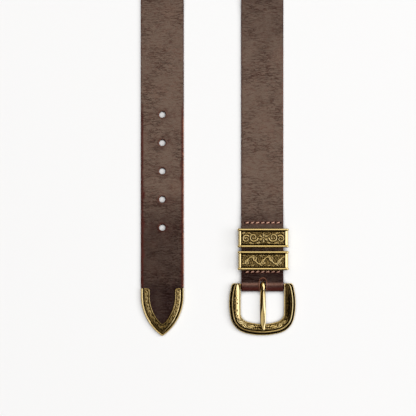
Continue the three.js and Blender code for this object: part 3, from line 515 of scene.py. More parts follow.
def strand_course(s):
    """Middle, grain direction, half width and thickness of the strap at lengths s from the bar to the tip.

    It is a flat strand, the loop, and a flat strand again, mirrored in X. On the loop the grain side turns
    from up to outwards by an eased quarter turn while the lower edge stays on the table.
    """
    lap = s - VISIBLE_Y
    side = np.where(lap < LOOP_LENGTH / 2, 1.0, -1.0)
    from_edge = np.minimum(lap, LOOP_LENGTH - lap)
    plan_x, plan_y, plan_heading = loop_plan()
    plan_s = np.arange(len(plan_x)) * PATH_STEP
    reach = np.clip(from_edge, 0, None)
    heading = np.interp(reach, plan_s, plan_heading)
    x = side * np.interp(reach, plan_s, plan_x)
    y = np.where(from_edge > 0, np.interp(reach, plan_s, plan_y), VISIBLE_Y + from_edge)
    roll = math.pi / 2 * smooth((from_edge - ROLL_START) / (ROLL_END - ROLL_START))

    over_point = POINT_S - s
    buckle_z = eased(y, BUCKLE_STRAND["y"], BUCKLE_STRAND["z"])
    tip_z = eased(over_point, TIP_STRAND["over_point"], TIP_STRAND["z"])
    z = np.where(side > 0, buckle_z, tip_z)
    thickness = np.where(side > 0, eased(y, BUCKLE_STRAND["y"], BUCKLE_STRAND["thickness"]), THICKNESS)
    half = HALF_WIDTH + EXTRA_HALF_WIDTH * smooth((lap - WIDENING_START) / (WIDENING_END - WIDENING_START))
    z = z + half * np.sin(roll) + thickness / 2 * (np.cos(roll) - 1)

    inside = smooth((TIP_MOUTH - over_point) / 0.25)
    z += (TIP_MOUTH_Z - TIP_LEATHER_THICKNESS / 2 - z) * inside
    thickness += (TIP_LEATHER_THICKNESS - thickness) * inside
    half += (tip_leather_half_width(over_point) - half) * inside

    outwards = np.stack([side * np.cos(heading), -np.sin(heading)], -1) * np.sin(roll)[:, None]
    grain = np.concatenate([outwards, np.cos(roll)[:, None]], axis=1)
    return np.stack([x, y, z], -1), grain, half, thickness


def strap_course(step=0.25):
    """The middle of the strap from its turned-back end to its point, with its own directions and sizes.

    It is a flat layer, half a circle round the bar, and then the strands and the loop. Across is along
    crossed with grain, and up is across crossed with along.
    """
    s = np.arange(STRAP_START, STRAP_END + step / 2, step)
    middle, grain, half, thickness = strand_course(s)
    fold = np.clip(-s / FOLD_ARC, 0, 1)
    angle = -math.pi / 2 - math.pi * (1 - fold)
    round_bar = np.stack([0 * s, np.cos(angle), np.sin(angle)], -1)
    on_fold = s < 0
    middle[on_fold] = [STRAND_X, 0, BAR_Z] + FOLD_MID_RADIUS * round_bar[on_fold]
    grain[on_fold] = round_bar[on_fold]
    thickness[on_fold] = FOLD_THICKNESS
    half[on_fold] = HALF_WIDTH - TURNED_BACK_INSET * fold[on_fold]
    back = s < -FOLD_ARC
    back_y = -s[back] - FOLD_ARC
    thickness[back] = eased(back_y, TURNED_BACK["y"], TURNED_BACK["thickness"])
    middle[back] = np.stack([0 * back_y + STRAND_X, back_y, thickness[back] / 2], -1)

    along = np.gradient(middle, axis=0)
    along /= np.linalg.norm(along, axis=1, keepdims=True)
    across = np.cross(along, grain)
    across /= np.linalg.norm(across, axis=1, keepdims=True)
    up = np.cross(across, along)
    return {"s": s, "middle": middle, "across": across, "up": up, "half": half, "thickness": thickness}


COURSE = strap_course()


def course(key, s):
    """One of the course's columns at strap lengths s."""
    values = COURSE[key]
    if values.ndim == 1:
        return np.interp(s, COURSE["s"], values)
    return np.stack([np.interp(s, COURSE["s"], values[:, k]) for k in range(3)], -1)


def on_strap(s, w, n):
    """A place at strap length s, w across and n above the middle: middle + w times across + n times up."""
    return course("middle", s) + w[..., None] * course("across", s) + n[..., None] * course("up", s)


# The strap's surface

STITCH_ROWS = (13.2, 56.85)  # strap lengths, on both sides of the keepers
STITCH_FIRST_W = -15.65
STITCH_PITCH = 4.571
STITCH_COUNT = 7
COLUMN_PITCH = 1.25
COLUMNS_EACH_WAY = 13  # of even columns, from the middle
EDGE_COLUMN = 0.55  # from the first even place beside the rounded edge to the next
WINDOW_HALF = 5.0  # half of the square of the grid that is cut out round each hole
SLOT_WINDOW_MARGIN = 4.9
HOLE_LEAN = (0.75, 0.1)  # how far each hole's far rim is shifted, along the strap and across it
HOLE_BULGE = 0.12  # how far the wall swells into a hole, and into the slot
SLOT_BULGE = -0.06
HOLE_S = [POINT_S - FIRST_HOLE_FROM_POINT - HOLE_PITCH * i for i in reversed(range(HOLE_COUNT))]
SLOT_SPINE = (-FOLD_ARC - LOWER_SLOT_END_Y + SLOT_HALF_WIDTH, SLOT_END_Y - SLOT_HALF_WIDTH)
SLOT_WINDOW = (
    SLOT_SPINE[0] - SLOT_HALF_WIDTH - SLOT_WINDOW_MARGIN,
    SLOT_SPINE[1] + SLOT_HALF_WIDTH + SLOT_WINDOW_MARGIN,
)

# Rings of points down a hole's wall: how far outside the hole, share of the bulge, depth under its own side
# of the leather, and share of the lean
WALL_RINGS = (
    {"side": "grain", "outside": 0.75, "bulge": 0, "depth": 0, "lean": 0},
    {"side": "grain", "outside": 0.45, "bulge": 0, "depth": 0.07, "lean": 0},
    {"side": "grain", "outside": 0.2, "bulge": 0, "depth": 0.24, "lean": 0},
    {"side": "grain", "outside": 0, "bulge": 0, "depth": 0.55, "lean": 0.1},
    {"side": "grain", "outside": 0, "bulge": 1, "depth": 1.0, "lean": 0.35},
    {"side": "flesh", "outside": 0, "bulge": 1, "depth": 0.7, "lean": 0.75},
    {"side": "flesh", "outside": 0, "bulge": 0, "depth": 0.3, "lean": 0.9},
    {"side": "flesh", "outside": 0.3, "bulge": 0, "depth": 0.03, "lean": 0.8},
)
GRAIN_SHARES = (0.25, 0.5, 0.72, 0.88)  # of the way from the window's border to the first ring of the wall
FLESH_SHARES = (0.75, 0.4)  # the same from the last ring's side, back to the border


def hole_distance(s, w):
    """Distance to the nearest edge of a punched hole, and to the edge of the slot."""
    to_hole = np.min([np.hypot(s - centre, w) for centre in HOLE_S], axis=0) - HOLE_RADIUS
    to_slot = np.hypot(s - np.clip(s, *SLOT_SPINE), w - SLOT_SHIFT_X) - SLOT_HALF_WIDTH
    return to_hole, to_slot


def grain_height(s, w):
    """Height of the grain side over the middle of the leather.

    Half the thickness, less a soft fall near the edges, with faint uneven waves, a groove under each row of
    stitches, and a raised lip round the slot and the holes.
    """
    half = course("half", s)
    flat = course("thickness", s) / 2
    crown = -0.18 * smooth((np.abs(w) - half + 3.5) / 3.5) ** 2
    rolling = 0.05 * waves(s, 0.6 * w, 3, 9, 60, 14)
    in_row = smooth((17.4 - np.abs(w)) / 0.8)
    groove = sum(-0.3 * bump(s - row, 0.9) * in_row for row in STITCH_ROWS)
    to_hole, to_slot = hole_distance(s, w)
    lip = 0.5 * bump(to_slot - 0.7, 0.6) * smooth((s + 6) / 3) + 0.06 * bump(to_hole - 0.7, 0.7)
    in_tip = smooth((s - POINT_S + TIP_MOUTH + 4) / 12)
    on_rim = smooth((s - POINT_S + TIP_MOUTH) / 0.3)
    turned_back = smooth(-s / 4)
    return flat + (crown * (1 - on_rim) + rolling * (1 - in_tip)) * (1 - turned_back) + groove + lip


def flesh_height(s, w):
    """Height of the flesh side over the middle of the leather: minus half the thickness."""
    return -course("thickness", s) / 2 + 0 * w


def strap_rows():
    """Strap lengths of the grid's rows. They fall on both sides of each window and on each hole's middle."""
    stops = [
        (STRAP_START, 2.0),
        (SLOT_WINDOW[0], 1.1),
        (-FOLD_ARC, 0.6),
        (0, 1.1),
        (SLOT_WINDOW[1], 0.6),
        (STITCH_ROWS[0] - 1.6, 0.4),
        (STITCH_ROWS[0] + 1.6, 1.25),
        (STITCH_ROWS[1] - 1.6, 0.4),
        (STITCH_ROWS[1] + 1.6, 1.25),
        (VISIBLE_Y + 25, 2.4),
        (VISIBLE_Y + LOOP_LENGTH - 25, 1.25),
    ]
    for centre in HOLE_S:
        stops += [(centre - WINDOW_HALF, COLUMN_PITCH), (centre + WINDOW_HALF, COLUMN_PITCH)]
    stops += [(POINT_S - TIP_MOUTH, 0.125), (POINT_S - TIP_MOUTH + 0.25, 1.4), (STRAP_END, 0)]
    spans = zip(stops[:-1], stops[1:])
    return np.concatenate([spaced(a, b, step) for (a, step), (b, _) in spans] + [[STRAP_END]])


def strap_sections(s):
    """Places w across and n through the strap, round its section at each s: grain, edge, flesh, edge.

    The edges are quarter circles. Also gives the count of columns on the grain side, and the first column of
    the flesh side, whose columns run the other way.
    """
    half, thickness = course("half", s), course("thickness", s)
    scale = np.minimum(1, half / HALF_WIDTH)
    radius = np.minimum(EDGE_RADIUS, np.minimum(0.42 * thickness, 0.4 * half))
    even = np.arange(-COLUMNS_EACH_WAY, COLUMNS_EACH_WAY + 1) * COLUMN_PITCH * scale[:, None]
    left = np.stack([radius - half, EDGE_COLUMN * scale + radius - half], -1)
    right = np.stack([half - radius - EDGE_COLUMN * scale, half - radius], -1)
    flat = np.concatenate([left, even, right], axis=1)
    turn = np.radians([67.5, 45, 22.5, 0])
    edge_w = half[:, None] - radius[:, None] * (1 - np.cos(turn))
    drop = radius[:, None] * (1 - np.sin(turn))
    s_flat = np.broadcast_to(s[:, None], flat.shape)
    grain, flesh = grain_height(s_flat, flat), flesh_height(s_flat, flat)
    right_top, right_low = grain[:, -1:] - drop, flesh[:, -1:] + drop
    left_top, left_low = grain[:, :1] - drop, flesh[:, :1] + drop
    w = np.concatenate([flat, edge_w, edge_w[:, ::-1], flat[:, ::-1], -edge_w, -edge_w[:, ::-1]], axis=1)
    right, left = (right_top, right_low[:, ::-1]), (left_low, left_top[:, ::-1])
    n = np.concatenate([grain, *right, flesh[:, ::-1], *left], axis=1)
    flats = flat.shape[1]
    return w, n, flats, flats + 2 * len(turn)


def hole_rings(ring_s, ring_w, spine, centre_w, hole, lean, bulge):
    """Rings of places (s, w, n) from a window's border on the grain side, through the hole, and back out.

    Each point lies straight out from the nearest point of the hole's spine. On the flat sides it is a share
    of the way in from the border, and on the wall its distance is the table's. The lean shifts a ring by
    its share.
    """
    from_s = np.clip(ring_s, *spine)
    out_s, out_w = ring_s - from_s, ring_w - centre_w
    reach = np.hypot(out_s, out_w)
    out_s, out_w = out_s / reach, out_w / reach
    first, last = hole + WALL_RINGS[0]["outside"], hole + WALL_RINGS[-1]["outside"]
    rings = [(reach + (first - reach) * share, "grain", 0.0, 0.0) for share in GRAIN_SHARES]
    for row in WALL_RINGS:
        distance = 0 * reach + hole + (row["outside"] - row["bulge"] * bulge)
        rings.append((distance, row["side"], row["depth"], row["lean"]))
    rings += [(reach + (last - reach) * share, "flesh", 0.0, 0.5 * share) for share in FLESH_SHARES]
    for distance, side, depth, leaning in rings:
        at_s = from_s + out_s * distance + leaning * lean[0]
        at_w = centre_w + out_w * distance + leaning * lean[1]
        at_n = grain_height(at_s, at_w) - depth if side == "grain" else flesh_height(at_s, at_w) + depth
        yield np.stack([at_s, at_w, at_n], -1)


def window_border(a, b, c, d):
    """The border of a window from row a to b and column c to d, as rows and columns in walking order."""
    rows = [np.full(d - c, a), np.arange(a, b), np.full(d - c, b), np.arange(b, a, -1)]
    columns = [np.arange(c, d), np.full(b - a, d), np.arange(d, c, -1), np.full(b - a, c)]
    return np.concatenate(rows), np.concatenate(columns)


def strap_mesh():
    """The strap as one closed surface.

    A grid of rows along the strap and columns round its section. Where a hole goes through, a window is left
    out of both sides, and rings of points run from the one window's border to the hole's rim, down its wall
    and out to the other window's border.
    """
    s = strap_rows()
    w, n, flats, flesh_first = strap_sections(s)
    rows, columns = w.shape
    keep = np.ones((rows - 1, columns), bool)
    is_flesh = np.zeros((rows - 1, columns), bool)
    is_flesh[:, flesh_first : flesh_first + flats - 1] = True

    places = [np.stack([np.broadcast_to(s[:, None], w.shape), w, n], -1).reshape(-1, 3)]
    quads = []
    materials = []
    count = rows * columns
    middle_column = COLUMNS_EACH_WAY + 2
    window_columns = round(WINDOW_HALF / COLUMN_PITCH)
    c, d = middle_column - window_columns, middle_column + window_columns
    punched = (0, HOLE_RADIUS, HOLE_LEAN, HOLE_BULGE)
    holes = [(at - WINDOW_HALF, at + WINDOW_HALF, (at, at), *punched) for at in HOLE_S]
    slot = (*SLOT_WINDOW, SLOT_SPINE, SLOT_SHIFT_X, SLOT_HALF_WIDTH, (0, 0), SLOT_BULGE)
    for low, high, *shape in (*holes, slot):
        a, b = int(np.argmin(np.abs(s - low))), int(np.argmin(np.abs(s - high)))
        keep[a:b, c:d] = False
        mirror_c = flesh_first + flats - 1 - d
        keep[a:b, mirror_c : mirror_c + d - c] = False
        walk_rows, walk_columns = window_border(a, b, c, d)
        top_border = walk_rows * columns + walk_columns
        low_border = walk_rows * columns + flesh_first + flats - 1 - walk_columns
        ring_numbers = [top_border]
        for ring in hole_rings(s[walk_rows], w[walk_rows, walk_columns], *shape):
            places.append(ring)
            ring_numbers.append(count + np.arange(len(ring)))
            count += len(ring)
        ring_numbers.append(low_border)
        grain_bands = 1 + len(GRAIN_SHARES) + sum(row["side"] == "grain" for row in WALL_RINGS)
        for i, (upper, lower) in enumerate(zip(ring_numbers[:-1], ring_numbers[1:])):
            quads.append(np.stack([upper, np.roll(upper, -1), np.roll(lower, -1), lower], -1))
            materials.append(np.full(len(upper), 0 if i < grain_bands else 1))
    grid = grid_quads(rows, columns, wrap=True)[keep.ravel()]
    ends = np.arange(columns)
    for ring, row in ((ends[::-1], 0), (ends + (rows - 1) * columns, rows - 1)):
        places.append(np.array([[s[row], 0, 0]]))
        quads.append(ring_fan(ring, count))
        materials.append(np.zeros(columns))
        count += 1
    materials = [is_flesh.ravel()[keep.ravel()].astype(int), *materials]
    return np.concatenate(places), np.concatenate([grid, *quads]), np.concatenate(materials)


# How light and greyish the grain looks along each strand, 0 the deep colour and 1 the waxed one. It is
# partly the hide's own wax bloom and dye and partly painted light: a painted sheen along the middle
# stretches, fading towards the tip, and painted shade over the fold and by the keepers.
BUCKLE_STRAND_TONES = {
    "s": (-1, 7, 12, 20, 48, 53, 60, 70, 90, 150, 205, 240, 262),
    "tone": (0.0, 0.0, 0.0, 0.18, 0.36, 0.5, 0.5, 0.85, 0.98, 1.0, 0.84, 0.7, 0.55),
}
TIP_STRAND_TONES = {
    "over_point": (0, 40, 52, 70, 84, 104, 118, 128, 150, 240, 280, 300),
    "tone": (0.02, 0.04, 0.22, 0.23, 0.28, 0.38, 0.62, 0.92, 0.95, 1.0, 0.92, 0.85),
}
FOLD_TONE = 0.08
BAR_HIGHLIGHT_S = 1.9  # where the leather over the bar is rubbed and polished, and where a painted highlight lies on it


def strap_tones(s, w):
    """How waxed and light the grain looks, how much of the edge colour shows, and how rubbed the leather is.

    The tone follows the two tables, with patches. It falls in a stain across the strap at each punched
    hole. Along the rim on each hole's buckle side it falls to nothing, which is a painted shadow, and
    beyond that it rises, which is a painted highlight. The edge mask is a band with a ragged border, wider
    beside the punched holes, joined by the stains, the rims and the whole fold, and under the slot it is
    painted shade. The rubbed mask is a line on the right-hand edge of each strand, partly worn dye and
    partly a painted highlight, and it is a painted highlight on one side of each hole's rim, round the slot
    and over the bar, where the leather is also rubbed.
    """
    over_point = POINT_S - s
    on_tip_strand = s > VISIBLE_Y + LOOP_LENGTH / 2
    from_edge = course("half", s) - np.abs(w)
    to_hole, to_slot = hole_distance(s, w)
    ragged = waves(s, w, 11, 10, 9, 2.2)
    patches = waves(s, 1.5 * w, 5, 10, 70, 12)
    from_hole = np.min([np.hypot(s - centre, 0.4 * w) for centre in HOLE_S], axis=0)
    stain = bump(from_hole, 5.0) * np.clip(0.6 + 0.6 * ragged, 0, 1)
    # Along the rim on each hole's buckle side the tone falls to nothing, which is a painted shadow
    behind_hole = smooth(np.min([np.abs(s - centre + 2) - 1.5 for centre in HOLE_S], axis=0) / -1)
    crescent_shadow = behind_hole * bump(to_hole + 0.1, 0.6)

    buckle_tone = eased(s, BUCKLE_STRAND_TONES["s"], BUCKLE_STRAND_TONES["tone"])
    tip_tone = eased(over_point, TIP_STRAND_TONES["over_point"], TIP_STRAND_TONES["tone"])
    tone = np.where(on_tip_strand, tip_tone, buckle_tone)
    tone = np.where(s < 0, FOLD_TONE, tone) + 0.05 * patches
    # Beyond the painted shadow the tone is raised along the rim, which is a painted highlight; the stain is
    # the hide's own
    tone += 0.3 * behind_hole * bump(to_hole - 1.3, 0.5) - 0.25 * stain
    tone = tone * (1 - crescent_shadow)

    by_holes = smooth((over_point - 42) / 3) * smooth((215 - over_point) / 25)
    uneven = 1.3 + 0.5 * waves(s, 4 * np.sign(w), 21, 6, 40, 6)
    reach = 0.55 + 0.2 * ragged + by_holes * uneven
    edge = (0.55 + 0.37 * by_holes) * (1 - smooth((from_edge - reach) / (0.5 + 0.5 * by_holes)))
    edge = np.maximum(edge, 0.3 * stain + 0.5 * bump(to_hole - 0.2, 1.1))
    # The painted shadow on each hole's buckle side also takes most of the edge colour away
    edge = edge * (1 - 0.9 * crescent_shadow)
    round_slot = 0.5 * bump(to_slot, 0.6)
    # Under the slot the turned-back layer takes the edge colour, which is painted shade seen through the
    # slot
    under_slot_shade = smooth((4 - to_slot) / 2) * (s < -FOLD_ARC / 2)
    round_bar = 0.9 * smooth((1.5 - s) / 3.5) * smooth((s + FOLD_ARC + 4) / 4)
    edge = np.max([edge, round_slot, under_slot_shade, round_bar], axis=0)

    # A lighter line along each strand's right-hand edge: partly rubbed dye, partly a painted highlight where
    # that edge faces the light
    tip_edge_wear_and_highlight = smooth((over_point - 42) / 3) * smooth((210 - over_point) / 20) * (w < 0)
    buckle_edge_wear_and_highlight = 0.35 * smooth((s - 60) / 20) * smooth((225 - s) / 30) * (w > 0)
    rub_and_highlight = (tip_edge_wear_and_highlight + buckle_edge_wear_and_highlight) * (1 - smooth((from_edge - 0.45) / 0.4))
    # A painted highlight on one side of each hole's rim
    hole_rim_highlight = 0.5 * bump(to_hole - 0.1, 0.3) * smooth((w - 0.5) / 1.5)
    # A painted highlight along the raised rim round the slot
    slot_rim_highlight = 0.35 * bump(to_slot - 0.6, 0.4) * smooth((s + 6) / 3)
    rub_and_highlight = rub_and_highlight * np.clip(0.8 + 0.35 * ragged, 0, 1) + hole_rim_highlight
    # Over the bar the leather is rubbed lighter, partly worn and partly a painted highlight
    rub_and_highlight += 0.36 * bump(s - BAR_HIGHLIGHT_S, 1.0) + slot_rim_highlight
    return np.clip(tone, 0, 1.1), np.clip(edge, 0, 1), np.clip(rub_and_highlight, 0, 1)


# Relief


def raise_stroke(field, x, y, line, width, height):
    """Raises a round cord along a polyline: height times the root of 1 less (distance over width) squared.

    Along its length its width shrinks to 40% and its height to 70%. Only points inside the line's own box
    are worked on.
    """
    reach = width + 0.1
    near = (x > line[:, 0].min() - reach) & (x < line[:, 0].max() + reach)
    near &= (y > line[:, 1].min() - reach) & (y < line[:, 1].max() + reach)
    if not near.any():
        return
    point = np.stack([x[near], y[near]], -1)[:, None, :]
    start, run = line[:-1][None], (line[1:] - line[:-1])[None]
    t = np.clip(((point - start) * run).sum(-1) / (run**2).sum(-1), 0, 1)
    distance = np.linalg.norm(point - start - t[..., None] * run, axis=-1)
    nearest = distance.argmin(axis=1)
    pick = np.arange(len(nearest))
    share = (nearest + t[pick, nearest]) / run.shape[1]
    top = round_top(distance[pick, nearest], 0, width * (1 - 0.6 * share))
    field[near] = np.maximum(field[near], height * top * (1 - 0.3 * share))


def raise_stem(field, x, y, stem, parts, width, height):
    """Raises an even stem, in parts that are each raised from both of their ends."""
    for part in np.array_split(np.arange(len(stem)), parts):
        piece = stem[part[0] : part[-1] + 2]
        if len(piece) > 1:
            raise_stroke(field, x, y, piece, width, height)
            raise_stroke(field, x, y, piece[::-1], width, height)


def raise_leaf(field, x, y, cx, cy, angle, length, width, height):
    """Raises a leaf: half its width is a sine along it, its top is round, and a vein is cut along it."""
    c, s = math.cos(angle), math.sin(angle)
    near = np.hypot(x - cx, y - cy) < length
    p = (x[near] - cx) * c + (y[near] - cy) * s
    q = -(x[near] - cx) * s + (y[near] - cy) * c
    t = p / length + 0.5
    half = np.where((t > 0) & (t < 1), width / 2 * np.sin(math.pi * np.clip(t, 0, 1)) ** 0.7, 1e-6)
    vein = 1 - 0.45 * bump(q, 0.12)
    field[near] = np.maximum(field[near], height * (round_top(q, 0, half) * vein))


def raise_knob(field, x, y, centre, size, height):
    """Raises a round knob."""
    raise_leaf(field, x, y, *centre, 0, size, size, height)


def curl(x, y, radius, start, turns, shrink=0.72):
    """A spiral's points: a circle whose radius shrinks evenly along its turns."""
    t = np.linspace(0, 1, max(8, int(18 * abs(turns))))
    angle = start + 2 * math.pi * turns * t
    r = radius * (1 - shrink * t)
    return np.stack([x + r * np.cos(angle), y + r * np.sin(angle)], -1)


# The upper keeper's ornament on its right half, which the left half mirrors
KEEPER_CURLS = (
    {"x": 8.7, "y": 0.5, "radius": 3.9, "start": -2.9, "turns": 1.35},
    {"x": 15.3, "y": -0.8, "radius": 3.3, "start": 2.3, "turns": -1.3},
)
KEEPER_LEAVES = (
    {"cx": 4.6, "cy": -4.2, "angle": -0.5, "length": 3.8},
    {"cx": 12.3, "cy": 4.1, "angle": 0.35, "length": 4.6},
    {"cx": 11.2, "cy": -4.6, "angle": 0.25, "length": 4.0},
    {"cx": 17.6, "cy": 4.3, "angle": -0.6, "length": 3.4},
)
PETALS = 6
KEEPER_WAVES = 2.5  # of the lower keeper's stem


def flower_relief(x, y, height):
    """The upper keeper's ornament: a six-petalled flower between curls and leaves that mirror each other."""
    field = np.zeros(x.shape)
    raise_knob(field, x, y, (0, 0), 2.0, 1.15 * height)
    for i in range(PETALS):
        angle = 2 * math.pi / PETALS * i + math.pi / PETALS
        raise_leaf(field, x, y, 2.7 * math.cos(angle), 2.7 * math.sin(angle), angle, 3.4, 2.1, height)
    across = np.abs(x)
    for row in KEEPER_CURLS:
        line = curl(**row)
        raise_stroke(field, across, y, line, 0.85, height)
        raise_knob(field, across, y, line[-1], 1.7, 1.1 * height)
    for row in KEEPER_LEAVES:
        raise_leaf(field, across, y, **row, width=1.9, height=height)
    return field


def bold_vine_relief(x, y, height):
    """The lower keeper's ornament: a thick stem on a sine, a curl in each bend and leaves outside it."""
    field = np.zeros(x.shape)
    length = 2 * PANEL_HALF_WIDTH - 2.4
    t = np.linspace(-length / 2, length / 2, 90)
    stem = np.stack([t, 2.9 * np.sin(2 * math.pi * KEEPER_WAVES * t / length)], -1)
    raise_stem(field, x, y, stem, 10, 0.75, 0.9 * height)
    half_wave = length / KEEPER_WAVES / 2
    for i in range(int(2 * KEEPER_WAVES)):
        side = -1 if i % 2 else 1
        middle = half_wave * (i + 0.5 - KEEPER_WAVES)
        line = curl(middle, -1.7 * side, 2.1, 1.6 * side, 1.15 * side)
        raise_stroke(field, x, y, line, 0.75, height)
        raise_knob(field, x, y, line[-1], 1.5, 1.1 * height)
        after = middle + 0.5 * half_wave + 0.9
        raise_leaf(field, x, y, after, 3.6 * side, 0.5 * side, 3.8, 1.9, height)
        raise_leaf(field, x, y, middle - 2.6, 4.4 * side, -0.3 * side, 2.8, 1.5, 0.9 * height)
    return field


def vine_relief(x, y, height, length, waves_count, amplitude):
    """A running vine along x from 0 to length, on the frame's band and the tip.

    The stem is a sine wave. Each half wave has two small leaves outside its bend, and each but the first
    and the last has one inside it.
    """
    field = np.zeros(x.shape)
    margin = length / waves_count / 4
    t = np.linspace(margin, length - margin, waves_count * 14 + 1)
    stem = np.stack([t, amplitude * np.sin(2 * math.pi * waves_count * t / length)], -1)
    raise_stem(field, x, y, stem, 2 * waves_count, 0.5, 0.85 * height)
    half_wave = length / waves_count / 2
    for i in range(2 * waves_count):
        side = -1 if i % 2 else 1
        middle = half_wave * (i + 0.5)
        inside, before, after = (middle + share * half_wave for share in (0.25, -0.3, 0.35))
        if 0 < i < 2 * waves_count - 1:
            across = -0.7 * side * amplitude
            raise_leaf(field, x, y, inside, across, -0.5 * side, 0.9 * half_wave, 1.4, height)
        raise_leaf(field, x, y, before, side * (amplitude + 0.55), 0.5 * side, 1.7, 0.9, 0.9 * height)
        raise_leaf(field, x, y, after, side * (amplitude + 0.5), -0.6 * side, 1.5, 0.8, 0.8 * height)
    return field


def beading(x, y):
    """Small uneven beads from 0 to 1: the part above zero of sines added up."""
    return np.clip(waves(x, y, 17, 14, 2.0, 1.0), 0, 1.1) / 1.1


def stippled(relief, beads):
    """Relief of height one over a ground of beads that are a quarter as high."""
    return np.maximum(relief, 0.25 * np.sqrt(beads))


def tarnish(relief, beads):
    """How dark a panel's finish is: dark between the beads, less so on them, and bright on the relief."""
    return (1 - smooth((relief - 0.25) / 0.4)) * (0.95 - 0.5 * np.sqrt(beads))


def hollows(height, rows, columns):
    """How far each point of a grid lies under the mean of its neighbours, in millimetres."""
    mean = height
    for axis, reach in ((0, rows), (1, columns)):
        kernel = np.hanning(2 * reach + 3)[1:-1]
        kernel /= kernel.sum()
        padded = np.pad(mean, [(reach, reach) if k == axis else (0, 0) for k in (0, 1)], mode="edge")
        mean = np.apply_along_axis(lambda line: np.convolve(line, kernel, mode="valid"), axis, padded)
    return mean - height


# Buckle frame

ARM_END_ROWS = 24  # close rows where each arm's end is rounded, and their share of the arm
ARM_END_SHARE = 0.12


def frame_outlines(steps):
    """Outer and inner outline (x, v) of half the frame: side, corner and rail, matched stretch by stretch.

    The outer corner's circle touches the side's and the rail's circles from inside, so its middle is where
    circles about theirs, smaller by its radius, cross. The inner one lies against a straight side.
    """
    rail = np.array([0, FRAME_LENGTH - OUTER["rail_radius"]])
    side = np.array([OUTER["half_width"] - OUTER["side_radius"], OUTER["widest_v"]])
    to_rail = OUTER["rail_radius"] - OUTER["corner_radius"]
    to_side = OUTER["side_radius"] - OUTER["corner_radius"]
    apart = side - rail
    distance = np.hypot(*apart)
    unit = apart / distance
    along = (to_rail**2 - to_side**2 + distance**2) / (2 * distance)
    off = math.sqrt(to_rail**2 - along**2)
    corner = rail + along * unit + off * np.array([unit[1], -unit[0]])
    if corner[0] < 0:
        corner = rail + along * unit - off * np.array([unit[1], -unit[0]])

    def bearing(start, stop):
        return math.atan2(stop[1] - start[1], stop[0] - start[0])

    back = math.asin((FRAME_BACK - side[1]) / OUTER["side_radius"])
    side_end, corner_end = bearing(side, corner), bearing(rail, corner)
    turn = 1 - np.cos(np.linspace(0, math.pi / 2, ARM_END_ROWS, endpoint=False))
    spread = np.concatenate([ARM_END_SHARE * turn, np.linspace(ARM_END_SHARE, 1, steps[0], endpoint=False)])
    side_angle = back + (side_end - back) * spread
    outer = np.concatenate(
        [
            side + OUTER["side_radius"] * np.stack([np.cos(side_angle), np.sin(side_angle)], -1),
            arc(corner, OUTER["corner_radius"], side_end, corner_end, steps[1]),
            arc(rail, OUTER["rail_radius"], corner_end, math.pi / 2, steps[2], last=True),
        ]
    )
    inner_x = INNER["half_width"] - INNER["corner_radius"]
    inner_rail = np.array([0, INNER["front_v"] - INNER["rail_radius"]])
    inner_v = inner_rail[1] + math.sqrt((INNER["rail_radius"] - INNER["corner_radius"]) ** 2 - inner_x**2)
    inner_corner = np.array([inner_x, inner_v])
    inner_end = bearing(inner_rail, inner_corner)
    straight = FRAME_BACK + (inner_v - FRAME_BACK) * spread
    inner = np.concatenate(
        [
            np.stack([0 * straight + INNER["half_width"], straight], -1),
            arc(inner_corner, INNER["corner_radius"], 0, inner_end, steps[1]),
            arc(inner_rail, INNER["rail_radius"], inner_end, math.pi / 2, steps[2], last=True),
        ]
    )
    return outer, inner


def in_frame(x, v, h, centre_x=STRAND_X, arched=True):
    """A place on the buckle: x across, v forwards from the bar, h over the base, arched and tilted."""
    u = v / FRAME_LENGTH
    height = h + (FRAME_ARCH * 4 * u * (1 - u) - FRAME_BASE_BELOW_BAR if arched else 0)
    c, s = math.cos(FRAME_TILT), math.sin(FRAME_TILT)
    return np.stack([centre_x + x, -v * c - height * s, BAR_Z - v * s + height * c], -1)


ARM_ROUNDING = 2.2  # radius that rounds each arm's outer edge to its end
ARM_ROUNDING_V = FRAME_BACK + 1.6
END_LIFT = 1.3  # how far the band rises towards each arm's end
END_LIFT_LENGTH = 10
FRAME_STEPS = (140, 120, 70)  # rows along each side, corner and half of the rail
FRAME_BAND_LENGTH = 104
FRAME_BAND_PLAIN = 8  # of it, in the middle of the rail, under the tongue's end
FRAME_WAVES = 5

# Across the frame's upper side, by distance from its outer edge, or from the inner one for the lip. A top's
# height is its base plus its rise.
RIM = {"end": 0.9, "base": 3.5, "rise": 0.75}
GROOVE_HEIGHT = 3.0
RIDGE = {"start": 2.1, "top": 2.9, "end": 4.05, "flanks": (0.8, 1.15), "base": 4.5, "rise": 1.0}
LINE = {"end": 4.7, "height": 4.25}
LIP = {"width": 1.0, "base": 2.35, "rise": 0.6}


def frame_section(outer_distance, inner_distance, width):
    """Height of the frame's upper side, from the distances to its outer and its inner edge.

    A round rim, a deep groove, a ridge whose outer flank is the steeper one, a fine line, a band that slopes
    down inwards and a thin lip.
    """
    d = outer_distance
    rim = RIM["base"] + RIM["rise"] * round_top(d, RIM["end"] / 2, RIM["end"] / 2)
    flank = np.where(d < RIDGE["top"], *RIDGE["flanks"])
    ridge = RIDGE["base"] + RIDGE["rise"] * round_top(d, RIDGE["top"], flank)
    slope = np.clip((inner_distance - LIP["width"]) / (width - 5.2), 0, 1)
    band = 2.55 + 2.2 * slope**0.85
    lip = LIP["base"] + LIP["rise"] * round_top(inner_distance, LIP["width"] / 2, LIP["width"] / 2)
    height = np.where(d < RIM["end"], rim, GROOVE_HEIGHT)
    height = np.where(d > RIDGE["start"], ridge, height)
    height = np.where(d > RIDGE["end"], LINE["height"], height)
    height = np.where(d > LINE["end"], band, height)
    return np.where(inner_distance < LIP["width"], lip, height)


